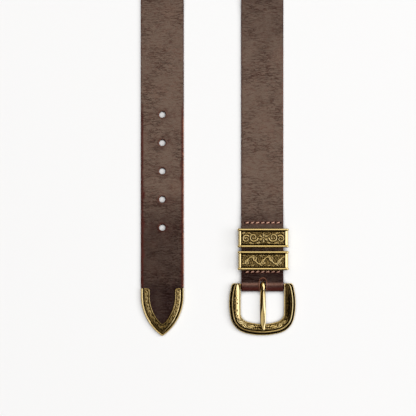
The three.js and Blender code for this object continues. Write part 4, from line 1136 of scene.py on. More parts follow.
def frame_face(outer, run, walked, relief_height):
    """The frame's upper side: each point's share of the way inwards, its height, and how dark it is.

    Near an arm's end, distances from the outer edge are bent round the rounded corner. The vine runs along
    the band, high on the rail and faint on the sides. The groove, the line and the ridge's inner flank are
    dark, and so are the ground of the rail's vine, the outer side of each plain band and specks on it. The
    ridge is darker still on the left arm, and the plain band on the right arm, which is painted shade.
    """
    width = np.hypot(*run.T)[:, None]
    even = np.linspace(0, 5, 49)
    d = np.concatenate([even + 0 * width, 5 + (width - 5) * np.linspace(0, 1, 34)[1:]], axis=1)
    share = d / width
    behind = np.clip(ARM_ROUNDING_V - (outer[:, 1:] - run[:, 1:] * share), 0, None)
    full = d + ARM_ROUNDING - np.sqrt(ARM_ROUNDING**2 - behind**2)
    rounded = ARM_ROUNDING - np.hypot(ARM_ROUNDING - full, behind)
    bent = full - behind * np.clip(1 - (full - ARM_ROUNDING) / 2, 0, 1)
    from_edge = np.where(full < ARM_ROUNDING, rounded, bent)
    from_inside = width - d
    height = frame_section(from_edge, from_inside, width)

    across = from_inside - 1.3 - 2.5
    along = np.minimum(walked, FRAME_BAND_LENGTH - walked)[:, None] + 0 * d
    half_length = (FRAME_BAND_LENGTH - FRAME_BAND_PLAIN) / 2
    relief = vine_relief(along, across, 1.0, half_length, FRAME_WAVES, 1.1)
    beads = beading(along, across)
    on_band = smooth((from_edge - 4.75) / 0.3) * smooth((from_inside - 1.1) / 0.3)
    on_rail = smooth((along - 25) / 9)
    on_side = 1 - on_rail
    on_left = smooth(1.5 - 2 * walked / FRAME_BAND_LENGTH)[:, None]
    height = height + relief_height * (0.16 + 0.84 * on_rail) * stippled(relief, beads) * on_band
    lift = END_LIFT * smooth(1 - (outer - run)[:, 1:] / END_LIFT_LENGTH)
    height += lift * np.clip((d - 3.6) / 5.5, 0, 1)

    hollow = np.clip(hollows(height, 4, 5) / 0.28, 0, 1)
    hollow += 1.3 * ((from_edge > 0.75) & (from_edge < 2.45))
    hollow += 1.1 * bump(from_edge - 4.38, 0.4)
    # The ridge is darker on the left arm, which is painted shade
    ridge = 0.05 + 0.35 * on_left + 0.1 * on_rail + 0.45 * smooth((from_edge - 3.4) / 0.4)
    hollow += ridge * ((from_edge > 2.4) & (from_edge < 4.1))
    hollow += 0.8 * on_band * on_rail * tarnish(relief, beads)
    outside = smooth((from_inside - 2.4) / 3)
    specks = smooth((waves(along, 1.3 * across, 23, 14, 2.9, 2.0) - 0.3) / 0.4) * smooth(from_inside - 2)
    # The plain band is darker on the right arm, which is painted shade
    plain = 0.7 * outside + specks * smooth((along - 8) / 4) + 0.4 * (1 - on_left)
    hollow += on_band * on_side * plain
    return share, height, hollow


def drawn_in(section, direction):
    """Three rings that round off the body's end.

    Each is smaller by shares of an angle's sine and of 1 less its cosine, and farther out by its sine.
    """
    rings = []
    for angle in np.radians([20, 45, 68]):
        centre = section.mean(axis=0)
        shrink = 1 - 0.09 * (1 - math.cos(angle)) - 0.03 * math.sin(angle)
        rings.append(centre + (section - centre) * shrink + [0, 0.45 * math.sin(angle), 0])
    return np.stack(rings[::direction])


def frame_mesh(relief_height):
    """The frame as one closed surface, swept along matched outlines from one arm's end to the other's.

    Across each row, points go over the upper side, down the inner wall, under the base and up the outer
    wall. Gives its points, quads and how dark it is at each point.
    """
    outer, inner = frame_outlines(FRAME_STEPS)
    behind = np.clip(ARM_ROUNDING_V - outer[:, 1], 0, None)
    outer[:, 0] -= ARM_ROUNDING - np.sqrt(ARM_ROUNDING**2 - behind**2)
    outer, run, sign, walked = mirrored_band(outer, inner, FRAME_BAND_LENGTH)
    share, height, hollow = frame_face(outer, run, walked, relief_height)

    wall_share = np.array([1, 1, 0.93, 0.5, 0.07, 0, 0])
    wall_height = np.array([0.75, 0.1, 0, 0, 0, 0.1, 0.8])
    walls = (len(share), len(wall_share))
    wall = np.where(wall_share > 0.5, height[:, -1:], height[:, :1]) * wall_height
    share = np.concatenate([share, np.broadcast_to(wall_share, walls)], axis=1)
    height = np.concatenate([height, wall], axis=1)
    hollow = np.concatenate([hollow, np.zeros(walls)], axis=1)
    x = sign[:, None] * (outer[:, :1] - run[:, :1] * share)
    body = in_frame(x, outer[:, 1:] - run[:, 1:] * share, height)
    sections = np.concatenate([drawn_in(body[0], -1), body, drawn_in(body[-1], 1)])
    points, quads = closed_sweep(sections)
    ends = np.zeros(3 * hollow.shape[1])
    return points, quads, np.clip(np.concatenate([ends, hollow.ravel(), ends, [0, 0]]), 0, 1)


# Tongue

# The tongue's rows: how far forwards, the heights of its underside and its ridge, half its width, and how
# steep its facets are
TONGUE = {
    "v": (-4.95, -4.7, -4, -2.8, -1.4, 0, 1.4, 2.6, 4, 6.5, 10, 15, 19, 23, 28, 33, 36.5, 38.4, 39.2),
    "low": (0.5, 0.2, 0.1, 0.4, 2, 2.6, 2, 0.6, 0.45, 0.3, 0.45, 0.85, 1.2, 1.6, 2, 2.2, 2.55, 3.2, 3.5),
    "high": (2, 2.95, 3.9, 4.85, 5.45, 5.75, 5.55, 5.35, 4.8)
    + (4.4, 4.3, 4.15, 4.15, 4.35, 4.8, 4.9, 4.8, 4.6, 4.2),
    "half": (1, 1.4, 1.65, 1.8, 1.95, 2.05, 2.1, 2.1, 2.25)
    + (2.45, 2.55, 2.6, 2.6, 2.6, 2.5, 2.25, 1.9, 1.5, 0.8),
    "crown": (1, 0.8, 0.8, 0.8, 0.9, 0.9, 1, 1, 1.1, 1.2, 1.2, 1.05, 0.7, 0.42, 0.28, 0.28, 0.6, 0.9, 1),
}

# Half of the tongue's section, as shares of its half width and of its height: the side and then the ridge
TONGUE_SIDE = ((0, 0), (0.8, 0), (0.97, 0.08), (1, 0.2), (1, 0.4), (0.97, 0.53), (0.88, 0.66))
TONGUE_RIDGE = ((0.72, 0.78), (0.52, 0.875), (0.32, 0.945), (0.14, 0.988), (0, 1))


def tongue_mesh():
    """The tongue: a shaft of keeled section through the table's rows, and a ring round the bar.

    Each column of the table is carried along by a smooth curve through its values. The section has a flat
    underside, upright sides and two facets that rise to a blunt ridge, more steeply with a greater crown.
    """
    spans = ((TONGUE["v"][0], -3, 14), (-2.8, 38, 110), (38.2, TONGUE["v"][-1], 8))
    v = np.concatenate([np.linspace(*span) for span in spans])
    columns = {key: smooth_through(v, TONGUE["v"], values)[:, None] for key, values in TONGUE.items()}
    half_outline = np.array(TONGUE_SIDE + TONGUE_RIDGE)
    outline = np.concatenate([half_outline, (half_outline * [-1, 1])[-2:0:-1]])
    keel_x, keel_h = outline.T
    x = columns["half"] * (keel_x + 0.1 * np.clip(keel_h / 0.4 - 1.5, 0, 1))
    crowned = np.where(keel_h > 0.3, 1 - (1 - keel_h) * columns["crown"], keel_h)
    h = columns["low"] + (columns["high"] - columns["low"]) * crowned
    shaft = in_frame(x, v[:, None] + 0 * x, h, centre_x=TONGUE_X, arched=False)
    points, quads = closed_sweep(shaft)

    around = np.linspace(0, 2 * math.pi, 64, endpoint=False)
    tube = np.linspace(0, 2 * math.pi, 20, endpoint=False)
    inner = BAR_RADIUS + RUNNING_GAP
    depth = (TONGUE_RING_RADIUS - inner) / 2
    radial = ((inner + depth) + depth * squared_off(np.cos(tube)))[None, :]
    sideways = (TONGUE_RING_HALF_WIDTH * squared_off(np.sin(tube)))[None, :]
    turned = [radial * np.cos(around)[:, None], BAR_Z + radial * np.sin(around)[:, None]]
    ring = np.stack([TONGUE_X + sideways + 0 * turned[0], *turned], -1)
    ring_quads = grid_quads(len(around) + 1, len(tube), wrap=True) % (len(around) * len(tube))
    points = np.concatenate([points, ring.reshape(-1, 3)])
    return points, np.concatenate([quads, len(shaft) * len(outline) + 2 + ring_quads])


# Keepers


def rounded_ring(x, low, high, r, face_count):
    """A rounded rectangle in X and Z, from the middle of its low side and back, and its outward directions.

    Two such rings of the same face_count match point by point.
    """
    points, normals = [], []

    def straight(xs, zs, direction):
        points.append(np.stack(np.broadcast_arrays(xs, zs), -1))
        normals.append(np.broadcast_to(direction, (len(points[-1]), 2)))

    def corner(cx, cz, start, count):
        angle = start + np.linspace(0, math.pi / 2, count)[1:-1]
        direction = np.stack([np.cos(angle), np.sin(angle)], -1)
        points.append(np.array([cx, cz]) + r * direction)
        normals.append(direction)

    straight(np.linspace(0, x - r, 14), low, [0, -1])
    corner(x - r, low + r, -math.pi / 2, 10)
    straight(x, np.linspace(low + r, high - r, 16), [1, 0])
    corner(x - r, high - r, 0, 12)
    straight(np.linspace(x - r, r - x, face_count), high, [0, 1])
    corner(r - x, high - r, math.pi / 2, 12)
    straight(-x, np.linspace(high - r, low + r, 16), [-1, 0])
    corner(r - x, low + r, math.pi, 10)
    straight(np.linspace(r - x, 0, 14)[:-1], low, [0, -1])
    return np.concatenate(points), np.concatenate(normals)


def keeper_outside():
    """Places along Y over a keeper's outside, bead, band and bead, and how far a bead stands out there."""
    bead = BEAD_RADIUS * np.cos(np.linspace(math.pi, 0, 15))
    bead_y = KEEPER_LENGTH / 2 - BEAD_RADIUS
    band = np.linspace(BEAD_RADIUS - bead_y, bead_y - BEAD_RADIUS, 74)[1:-1]
    y = np.concatenate([bead - bead_y, band, bead + bead_y])
    height = np.sqrt(np.clip(BEAD_RADIUS**2 - (np.abs(y) - bead_y) ** 2, 0, None)) - BEAD_INSET
    on_bead = np.abs(y) > bead_y - BEAD_RADIUS - 1e-6
    return y, np.where(on_bead, height, 0), on_bead


def keeper_surface(x, y, facing, on_back, bead, on_bead, ornament, relief_height):
    """How far a keeper's outside stands out, and how dark it is there.

    Over the face, where facing is near 1, the band is sunk to a panel that carries the ornament's height.
    The beads swell towards the keeper's ends. The hollows, the panel's ground and its border are dark.
    """
    on_face = smooth((facing - 0.96) / 0.03)
    in_panel = smooth((PANEL_HALF_WIDTH - np.abs(x)) / 0.35) * smooth((PANEL_HALF_LENGTH - np.abs(y)) / 0.3)
    sunk = in_panel * on_face
    relief, beads = ornament(x, y, 1.0), beading(x, y)
    out = bead + sunk * (relief_height * stippled(relief, beads) - PANEL_DEPTH)
    knob = 0.14 * bump(np.abs(x) - KEEPER_HALF_WIDTH + 0.6, 0.9) * on_bead * (facing > -0.2)
    out = (out + knob) * (1 - on_back) - 0.05 * on_back
    hollow = np.clip(hollows(out, 4, 4) / 0.16, 0, 1) * (1 - on_back)
    hollow += sunk * (0.27 + 0.33 * tarnish(relief, beads))
    hollow += on_face * bump(np.abs(y) - 5.85, 0.45) * smooth((20 - np.abs(x)) / 0.6)
    hollow += 0.8 * on_face * bump(np.abs(x) - PANEL_HALF_WIDTH, 0.4) * smooth((7 - np.abs(y)) / 0.5)
    return out, hollow


def keeper_mesh(middle_y, ornament, relief_height):
    """A keeper as one closed surface: sections of its wall all the way round a rounded rectangle.

    Each section runs along Y over the outside and back along the inside, which has a smaller rectangle of
    its own. The rims at the face's two ends slope down to the right. On the back bar the section narrows.
    """
    face_count = int(2 * KEEPER_HALF_WIDTH / KEEPER_FACE_STEP)
    low = KEEPER_BACK_Z
    points, normals = rounded_ring(KEEPER_HALF_WIDTH, low, KEEPER_TOP_Z, KEEPER_CORNER, face_count)
    inner, _ = rounded_ring(
        KEEPER_HALF_WIDTH - KEEPER_WALL,
        low + KEEPER_BACK_THICKNESS,
        KEEPER_TOP_Z - KEEPER_FACE_THICKNESS,
        KEEPER_INNER_CORNER,
        face_count,
    )
    on_back = smooth((low + 0.5 - points[:, 1:]) / 0.5)
    on_back *= smooth((KEEPER_HALF_WIDTH - KEEPER_WALL - np.abs(points[:, :1])) / 1.5)
    outside_y, bead, on_bead = keeper_outside()
    x = points[:, :1] + 0 * outside_y
    y = outside_y + 0 * x
    out, hollow = keeper_surface(x, y, normals[:, 1:], on_back, bead, on_bead, ornament, relief_height)

    outside = points[:, None, :] + normals[:, None, :] * out[..., None]
    over_back = (points[:, 1] - low) / (KEEPER_TOP_Z - low)
    right = np.maximum(points[:, 0] - PANEL_HALF_WIDTH - 0.3, 0)
    left = np.clip(KEEPER_HALF_WIDTH + points[:, 0], 0, 9)
    left = left * smooth((-points[:, 0] - PANEL_HALF_WIDTH) / 0.4)
    fall = KEEPER_END_SLOPE * (right + left) * over_back
    outside[..., 1] -= fall[:, None] * (1 - 0.7 * on_bead)
    half = KEEPER_LENGTH / 2
    inside_y = np.concatenate([[half - 0.45], np.linspace(half - 0.75, 0.75 - half, 8), [-(half - 0.45)]])
    depth = np.concatenate([[0.75], np.ones(8), [0.75]])[:, None]
    inside = points[:, None, :] * (1 - depth) + inner[:, None, :] * depth
    place = np.concatenate([outside, inside], axis=1)
    narrow = 1 - (1 - KEEPER_BACK_LENGTH / KEEPER_LENGTH) * on_back
    all_y = np.concatenate([outside_y, inside_y])[None, :] * narrow
    sections = np.stack([KEEPER_X + place[..., 0], middle_y + all_y, place[..., 1]], -1)
    rows, columns, _ = sections.shape
    quads = grid_quads(rows + 1, columns, wrap=True) % (rows * columns)
    hollow = np.concatenate([hollow, np.zeros((rows, len(inside_y)))], axis=1)
    return sections.reshape(-1, 3), quads, np.clip(hollow, 0, 1).ravel()


# Tip


def ogive_height(x, shape):
    """Height over the point of an ogive outline at x, with its point rounded off, less so away from it."""
    rise = shape["straight_from"] - shape["point"]
    radius = (rise**2 + shape["half_width"] ** 2) / (2 * shape["half_width"])
    share = np.clip(1 - (x / shape["half_width"]) ** 2, 0, 1)
    rounded = np.hypot(x, shape["rounding"] * np.sqrt(share))
    under = np.maximum(radius**2 - (radius - shape["half_width"] + rounded) ** 2, 0)
    return shape["straight_from"] - np.sqrt(under)


TIP_BAND_LENGTH = 88
TIP_WAVES = 13
TIP_VINE_SCALE = 1.35  # how much finer its vine is than the frame's
TIP_BEAD = 1.3  # width of the bead along either edge
TIP_GROOVE = (1.65, 2.75)
TIP_PANEL = 3.1  # where the panel starts, from the outer edge

# Round the rest of the tip's section, from the face's inner edge: which edge a place is measured from, how
# far inside it the place is, and its height
TIP_WALLS = (
    ("inner", 0.0, 4.05),
    ("inner", 0.12, TIP_FACE_Z + 0.1),
    ("inner", 0.3, TIP_FACE_Z),
    ("outer", TIP_WALL + 0.2, TIP_FACE_Z),
    ("outer", TIP_WALL, TIP_FACE_Z - 0.2),
    ("outer", TIP_WALL, TIP_BACK_THICKNESS + 0.1),
    ("outer", TIP_WALL + 0.1, TIP_BACK_THICKNESS),
    ("inner", 0.2, TIP_BACK_THICKNESS),
    ("inner", 0.0, TIP_BACK_THICKNESS - 0.2),
    ("inner", 0.0, 0.2),
    ("inner", 0.2, 0.0),
    ("outer", 0.5, 0.0),
    ("outer", 0.15, 0.12),
    ("outer", 0.0, 0.5),
    ("outer", 0.0, 2.2),
    ("outer", 0.0, 3.9),
)


def tip_section(d, width, end_distance):
    """Height of the tip's face at a distance from its outer edge: bead, groove, panel and inner bead.

    The inner bead turns round the leg's end: its distance is that to a rounded corner, and past the corner
    to the end.
    """
    inner = width - d
    in_corner = (inner < TIP_CORNER) & (end_distance < TIP_CORNER)
    to_corner = TIP_CORNER - np.hypot(TIP_CORNER - inner, TIP_CORNER - end_distance)
    border = np.where(in_corner, to_corner, np.minimum(inner, end_distance))
    bead = 4.2 + 0.65 * round_top(d, TIP_BEAD / 2, TIP_BEAD / 2)
    inner_bead = 4.25 + 0.55 * round_top(border, TIP_BEAD / 2, TIP_BEAD / 2)
    groove = 4.28 - 0.3 * smooth((d - TIP_BEAD) / 0.7) + 0.27 * smooth((d - 2.55) / 0.6)
    height = np.where(d < TIP_BEAD, bead, groove)
    return np.where((border < TIP_BEAD) & (d > 2.9), np.maximum(height, inner_bead), height), border


def tip_outlines():
    """Outer and inner outline of half the tip, as x and height over the point, matched row by row."""
    leg = TIP_LENGTH - TIP["straight_from"]
    leg_h = TIP_LENGTH - leg * (1 - np.cos(np.linspace(0, math.pi / 2, 46, endpoint=False)))
    share = np.cos(np.linspace(0, math.pi / 2, 170)) ** 1.25
    outer, inner = (
        np.stack(
            [
                np.concatenate([np.full(len(leg_h), shape["half_width"]), shape["half_width"] * share]),
                np.concatenate([leg_h, ogive_height(shape["half_width"] * share, shape)]),
            ],
            -1,
        )
        for shape in (TIP, WINDOW)
    )
    past_corner = np.clip(inner[:, 1] - TIP_LENGTH + TIP_CORNER, 0, TIP_CORNER)
    inner[:, 0] = inner[:, 0] + TIP_CORNER - np.sqrt(TIP_CORNER**2 - past_corner**2) * (1 - 1e-9)
    return outer, inner


def tip_mesh(relief_height):
    """The tip as one closed surface, swept from one leg's end round the point to the other's.

    Across each row, points go over the face, round inside the channel and round the outside. The hollows,
    the groove and the panel's ground are dark, and everything is a little darker towards the point.
    """
    outer, run, sign, walked = mirrored_band(*tip_outlines(), TIP_BAND_LENGTH)
    width = np.hypot(*run.T)[:, None]
    share = np.linspace(0, 1, 54)
    d = share * width
    place_h = outer[:, 1:] - run[:, 1:] * share
    end_distance = np.where(outer[:, 1:] > TIP["straight_from"], TIP_LENGTH - place_h, 99)
    height, border = tip_section(d, width, end_distance)
    across = width - d - TIP_PANEL
    along = walked[:, None] + 0 * d
    vine_place = (TIP_VINE_SCALE * along, TIP_VINE_SCALE * across)
    relief = vine_relief(*vine_place, 1.0, TIP_VINE_SCALE * TIP_BAND_LENGTH, TIP_WAVES, 1.1)
    beads = beading(along, across)
    on_panel = smooth((d - TIP_PANEL) / 0.3) * smooth((border - 1.1) / 0.3)
    height = height + 0.4 * relief_height * stippled(relief, beads) * on_panel
    hollow = np.clip(hollows(height, 4, 4) / 0.2, 0, 1) * (d > TIP_PANEL)
    hollow += 1.3 * ((d > TIP_GROOVE[0]) & (d < TIP_GROOVE[1]))
    hollow += 0.2 * (d < TIP_GROOVE[0]) + 0.38 * ((border < 1.2) & (d > TIP_GROOVE[1]))
    by_point = smooth(1 - np.abs(along - TIP_BAND_LENGTH / 2) / 26)
    hollow += on_panel * (0.26 + 0.34 * tarnish(relief, beads)) + 0.25 * by_point * (d > TIP_BEAD)

    walls = [1 - far / width if edge == "inner" else far / width for edge, far, _ in TIP_WALLS]
    wall_share = np.concatenate(walls, axis=1)
    wall_height = np.array([z for _, _, z in TIP_WALLS]) + 0 * wall_share
    share = np.concatenate([share + 0 * width, wall_share], axis=1)
    height = np.concatenate([height, wall_height], axis=1)
    hollow = np.concatenate([hollow, 0 * wall_share], axis=1)
    x = sign[:, None] * (outer[:, :1] - run[:, :1] * share) - STRAND_X
    y = TIP_POINT_Y + outer[:, 1:] - run[:, 1:] * share
    points, quads = closed_sweep(np.stack([x, y, height], -1))
    return points, quads, np.clip(np.concatenate([hollow.ravel(), [0, 0]]), 0, 1)


# Thread


THREAD_RADIUS = 0.56
THREAD_RISE = 0.5  # of a stitch's middle over the grain
THREAD_DIP = 1.25  # from there down to its ends
STITCH_GAP = 1.0  # between two stitches of a row
STITCH_SLANT = 1.1


def stitch_mesh():
    """All the stitches: each a short tube that dips into the leather at both ends.

    Its middle goes from one hole to the next with a slant, its height over the grain is a flat arch, and
    its radius swells and shrinks twice round along it like two twisted plies.
    """
    t = np.linspace(0, 1, 15)
    angle = np.linspace(0, 2 * math.pi, 10, endpoint=False)
    twist = 1 + 0.1 * np.cos(2 * angle[None, :] + 14 * t[:, None])
    radius = THREAD_RADIUS * twist * (1 - 0.35 * np.abs(2 * t[:, None] - 1) ** 4)
    cosine, sine = np.cos(angle)[None, :, None], np.sin(angle)[None, :, None]
    points, quads = [], []
    for row in STITCH_ROWS:
        for i in range(STITCH_COUNT):
            first = STITCH_FIRST_W + STITCH_PITCH * i
            w = first + STITCH_GAP / 2 + (STITCH_PITCH - STITCH_GAP) * t
            s = row + STITCH_SLANT * (t - 0.5)
            n = grain_height(s, w) + THREAD_RISE - THREAD_DIP * np.abs(2 * t - 1) ** 3.2
            middle = on_strap(s, w, n)
            along = np.gradient(middle, axis=0)
            along /= np.linalg.norm(along, axis=1, keepdims=True)
            up = course("up", s)
            across = np.cross(along, up)
            out = cosine * up[:, None, :] + sine * across[:, None, :]
            tube, faces = closed_sweep(middle[:, None, :] + radius[..., None] * out)
            quads.append(faces + len(points) * len(tube))
            points.append(tube)
    return np.concatenate(points), np.concatenate(quads)


# Shader groups


def new_group(name, inputs, outputs):
    """An empty shader group. A socket is (name, kind), with a default where it has one."""
    group = bpy.data.node_groups.new(name, "ShaderNodeTree")
    for direction, sockets in (("INPUT", inputs), ("OUTPUT", outputs)):
        for label, kind, *default in sockets:
            kind = f"NodeSocket{kind}"
            socket = group.interface.new_socket(name=label, in_out=direction, socket_type=kind)
            for value in default:
                socket.default_value = value
    return group


def set_inputs(tree, made, inputs):
    """Links or sets a node's inputs, by name or number."""
    for key, value in inputs.items():
        if isinstance(value, bpy.types.NodeSocket):
            tree.links.new(value, made.inputs[key])
        else:
            made.inputs[key].default_value = value
    return made


def put_out(group, values):
    """Links what a group puts out, and gives the group."""
    set_inputs(group, group.nodes.new("NodeGroupOutput"), values)
    return group


def node(tree, kind, inputs, **settings):
    """Adds a node, sets its properties and its inputs, and gives its outputs."""
    made = tree.nodes.new(f"ShaderNode{kind}")
    for key, value in settings.items():
        setattr(made, key, value)
    return set_inputs(tree, made, inputs).outputs


def calc(tree, operation, a, *others, clamp=False):
    """A Math node's output. More than two values go through a row of them, one after the other."""
    for b in others or (0.0,):
        a = node(tree, "Math", {0: a, 1: b}, operation=operation)[0]
    a.node.use_clamp = clamp
    return a


def ramp(tree, value, low, high):
    """Zero up to low and one from high, straight between."""
    return node(tree, "MapRange", {"Value": value, "From Min": low, "From Max": high})["Result"]


def noise(tree, place, scale, detail, roughness=0.5):
    """A noise from 0 to 1, with its middle at a half."""
    inputs = {"Vector": place, "Scale": scale, "Detail": detail, "Roughness": roughness}
    return node(tree, "TexNoise", inputs)[0]


def swing(tree, value, size):
    """How far a noise is from its middle, times a size."""
    return calc(tree, "MULTIPLY", calc(tree, "SUBTRACT", value, 0.5), size)


def between(tree, share, a, b):
    """A number between a and b."""
    return node(tree, "Mix", {0: share, 2: a, 3: b})[0]


def blend(tree, share, a, b, mode="MIX"):
    """A colour between a and b. a and b are sockets or colours."""
    return node(tree, "Mix", {0: share, 6: a, 7: b}, data_type="RGBA", blend_type=mode)[2]


def stretched(tree, place, scale):
    """A place scaled in each direction."""
    return node(tree, "Mapping", {"Vector": place, "Scale": scale})[0]


def bumped(tree, height, strength, distance):
    """The normal of a surface raised by a height, at distance metres to one."""
    return node(tree, "Bump", {"Height": height, "Strength": strength, "Distance": distance})[0]


def attribute(tree, name, output="Fac"):
    """The value of one of the mesh's attributes."""
    return node(tree, "Attribute", {}, attribute_name=name)[output]


def rgba(color, share=1):
    """A colour times a share, with full alpha."""
    return (*(share * c for c in color), 1.0)


def hide_grain_group():
    """Wrinkles and pores of a hide. Place is in millimetres: along the strap, across it, and through it.

    Wrinkles are the folded middle line of a noise that is stretched across the strap, and a finer noise.
    Pores are small cells. Puts out a height and how deep in a wrinkle a point is.
    """
    group = new_group(
        "Hide grain",
        [("Place", "Vector"), ("Wrinkles", "Float", 1.0), ("Pores", "Float", 1.0)],
        [("Height", "Float"), ("Depth", "Float")],
    )
    entry = group.nodes.new("NodeGroupInput").outputs
    place = entry["Place"]
    drift = node(group, "TexNoise", {"Vector": place, "Scale": 0.07, "Detail": 2.0})["Color"]
    drift = node(group, "VectorMath", {0: drift, 1: (5.0, 2.0, 0.0)}, operation="MULTIPLY")[0]
    moved = node(group, "VectorMath", {0: place, 1: drift}, operation="ADD")[0]
    wide = noise(group, stretched(group, moved, (0.5, 0.09, 0.35)), 1.0, 3.0, 0.55)
    wide_fold = calc(group, "ABSOLUTE", calc(group, "SUBTRACT", wide, 0.5))
    wide_crease = calc(group, "SUBTRACT", 1.0, ramp(group, wide_fold, 0.0, 0.035))
    gate = ramp(group, noise(group, place, 0.045, 1.0), 0.36, 0.6)
    wide_crease = calc(group, "MULTIPLY", wide_crease, gate)
    fine = noise(group, stretched(group, moved, (0.8, 0.24, 0.5)), 1.0, 5.0, 0.65)
    fine_height = calc(group, "MULTIPLY", ramp(group, fine, 0.3, 0.7), 0.75)
    fine_crease = calc(group, "MULTIPLY", ramp(group, fine, 0.52, 0.36), 0.8)
    wrinkled = calc(group, "MULTIPLY", calc(group, "SUBTRACT", fine_height, wide_crease), entry["Wrinkles"])
    pores = node(group, "TexVoronoi", {"Vector": place, "Scale": 1.7})["Distance"]
    pored = calc(group, "MULTIPLY", ramp(group, pores, 0.0, 0.5), 0.35, entry["Pores"])
    deep = calc(group, "ADD", wide_crease, fine_crease)
    return put_out(
        group,
        {
            "Height": calc(group, "ADD", wrinkled, pored),
            "Depth": calc(group, "MULTIPLY", deep, entry["Wrinkles"], clamp=True),
        },
    )


def stitch_pits_group():
    """A mask of the pricked holes between stitches, from a place in millimetres along and across the strap.

    Across the strap the place is folded to its distance from the nearest hole. Along it, distances to both
    rows are taken, and the smaller counts. Row is a mask of the leather that the stitches press on.
    """
    group = new_group("Stitch pits", [("Place", "Vector")], [("Pit", "Float"), ("Row", "Float")])
    entry = group.nodes.new("NodeGroupInput").outputs
    parts = node(group, "SeparateXYZ", {0: entry["Place"]})
    steps = calc(group, "DIVIDE", calc(group, "SUBTRACT", parts[1], STITCH_FIRST_W), STITCH_PITCH)
    nearest = calc(group, "MAXIMUM", calc(group, "ROUND", steps), 0.0)
    nearest = calc(group, "MINIMUM", nearest, float(STITCH_COUNT))
    over = calc(group, "MULTIPLY", calc(group, "SUBTRACT", steps, nearest), STITCH_PITCH)
    rows = [calc(group, "ABSOLUTE", calc(group, "SUBTRACT", parts[0], row)) for row in STITCH_ROWS]
    along = calc(group, "MINIMUM", *rows)
    squares = calc(group, "ADD", calc(group, "MULTIPLY", over, over), calc(group, "MULTIPLY", along, along))
    in_row = calc(group, "MULTIPLY", ramp(group, calc(group, "ABSOLUTE", parts[1]), 18.0, 15.0), 0.7)
    return put_out(
        group,
        {
            "Pit": ramp(group, calc(group, "SQRT", squares), 0.95, 0.5),
            "Row": calc(group, "MULTIPLY", ramp(group, along, 2.2, 0.3), in_row),
        },
    )


def cast_finish_group():
    """An antiqued casting: bright where it is rubbed, amber, then dark in the hollows, with a fine skin.

    Hollow is 0 on what stands out and 1 in a hollow. Puts out a colour, a roughness and a height.
    """
    group = new_group(
        "Antiqued casting",
        [
            ("Place", "Vector"),
            ("Hollow", "Float", 0.0),
            ("Bright", "Color", (0.7, 0.5, 0.2, 1)),
            ("Tarnish", "Color", (0.2, 0.13, 0.04, 1)),
            ("Dark", "Color", (0.02, 0.015, 0.01, 1)),
            ("Smooth", "Float", 0.24),
            ("Rough", "Float", 0.55),
            ("Skin", "Float", 1.0),
        ],
        [("Color", "Color"), ("Roughness", "Float"), ("Height", "Float")],
    )
    entry = group.nodes.new("NodeGroupInput").outputs
    speckle = noise(group, entry["Place"], 900.0, 3.0)
    cloud = noise(group, entry["Place"], 160.0, 3.0)
    loose = calc(group, "ADD", swing(group, speckle, 0.9), swing(group, cloud, 0.6))
    hollow = calc(group, "MULTIPLY", entry["Hollow"], calc(group, "ADD", 1.0, loose), clamp=True)
    hollow = ramp(group, hollow, 0.12, 0.8)
    tint = blend(group, ramp(group, cloud, 0.35, 0.7), (0.95, 0.94, 0.92, 1), (1.05, 0.98, 0.84, 1))
    bright = blend(group, 1.0, entry["Bright"], tint, "MULTIPLY")
    filmed = blend(group, ramp(group, hollow, 0.0, 0.5), bright, entry["Tarnish"])
    rough = between(group, hollow, entry["Smooth"], entry["Rough"])
    return put_out(
        group,
        {
            "Color": blend(group, ramp(group, hollow, 0.5, 1.0), filmed, entry["Dark"]),
            "Roughness": calc(group, "ADD", rough, swing(group, cloud, 0.14), clamp=True),
            "Height": calc(group, "MULTIPLY", speckle, entry["Skin"]),
        },
    )


def placed_group(tree, name, build, inputs):
    """The outputs of the named group's node. The first material that asks for the group has it built."""
    placed = tree.nodes.new("ShaderNodeGroup")
    placed.node_tree = bpy.data.node_groups.get(name) or build()
    return set_inputs(tree, placed, inputs).outputs


# Materials


def new_material(name):
    """A material, its tree and its shader."""
    material = bpy.data.materials.new(name)
    material.use_nodes = True
    tree = material.node_tree
    return material, tree, tree.nodes["Principled BSDF"]


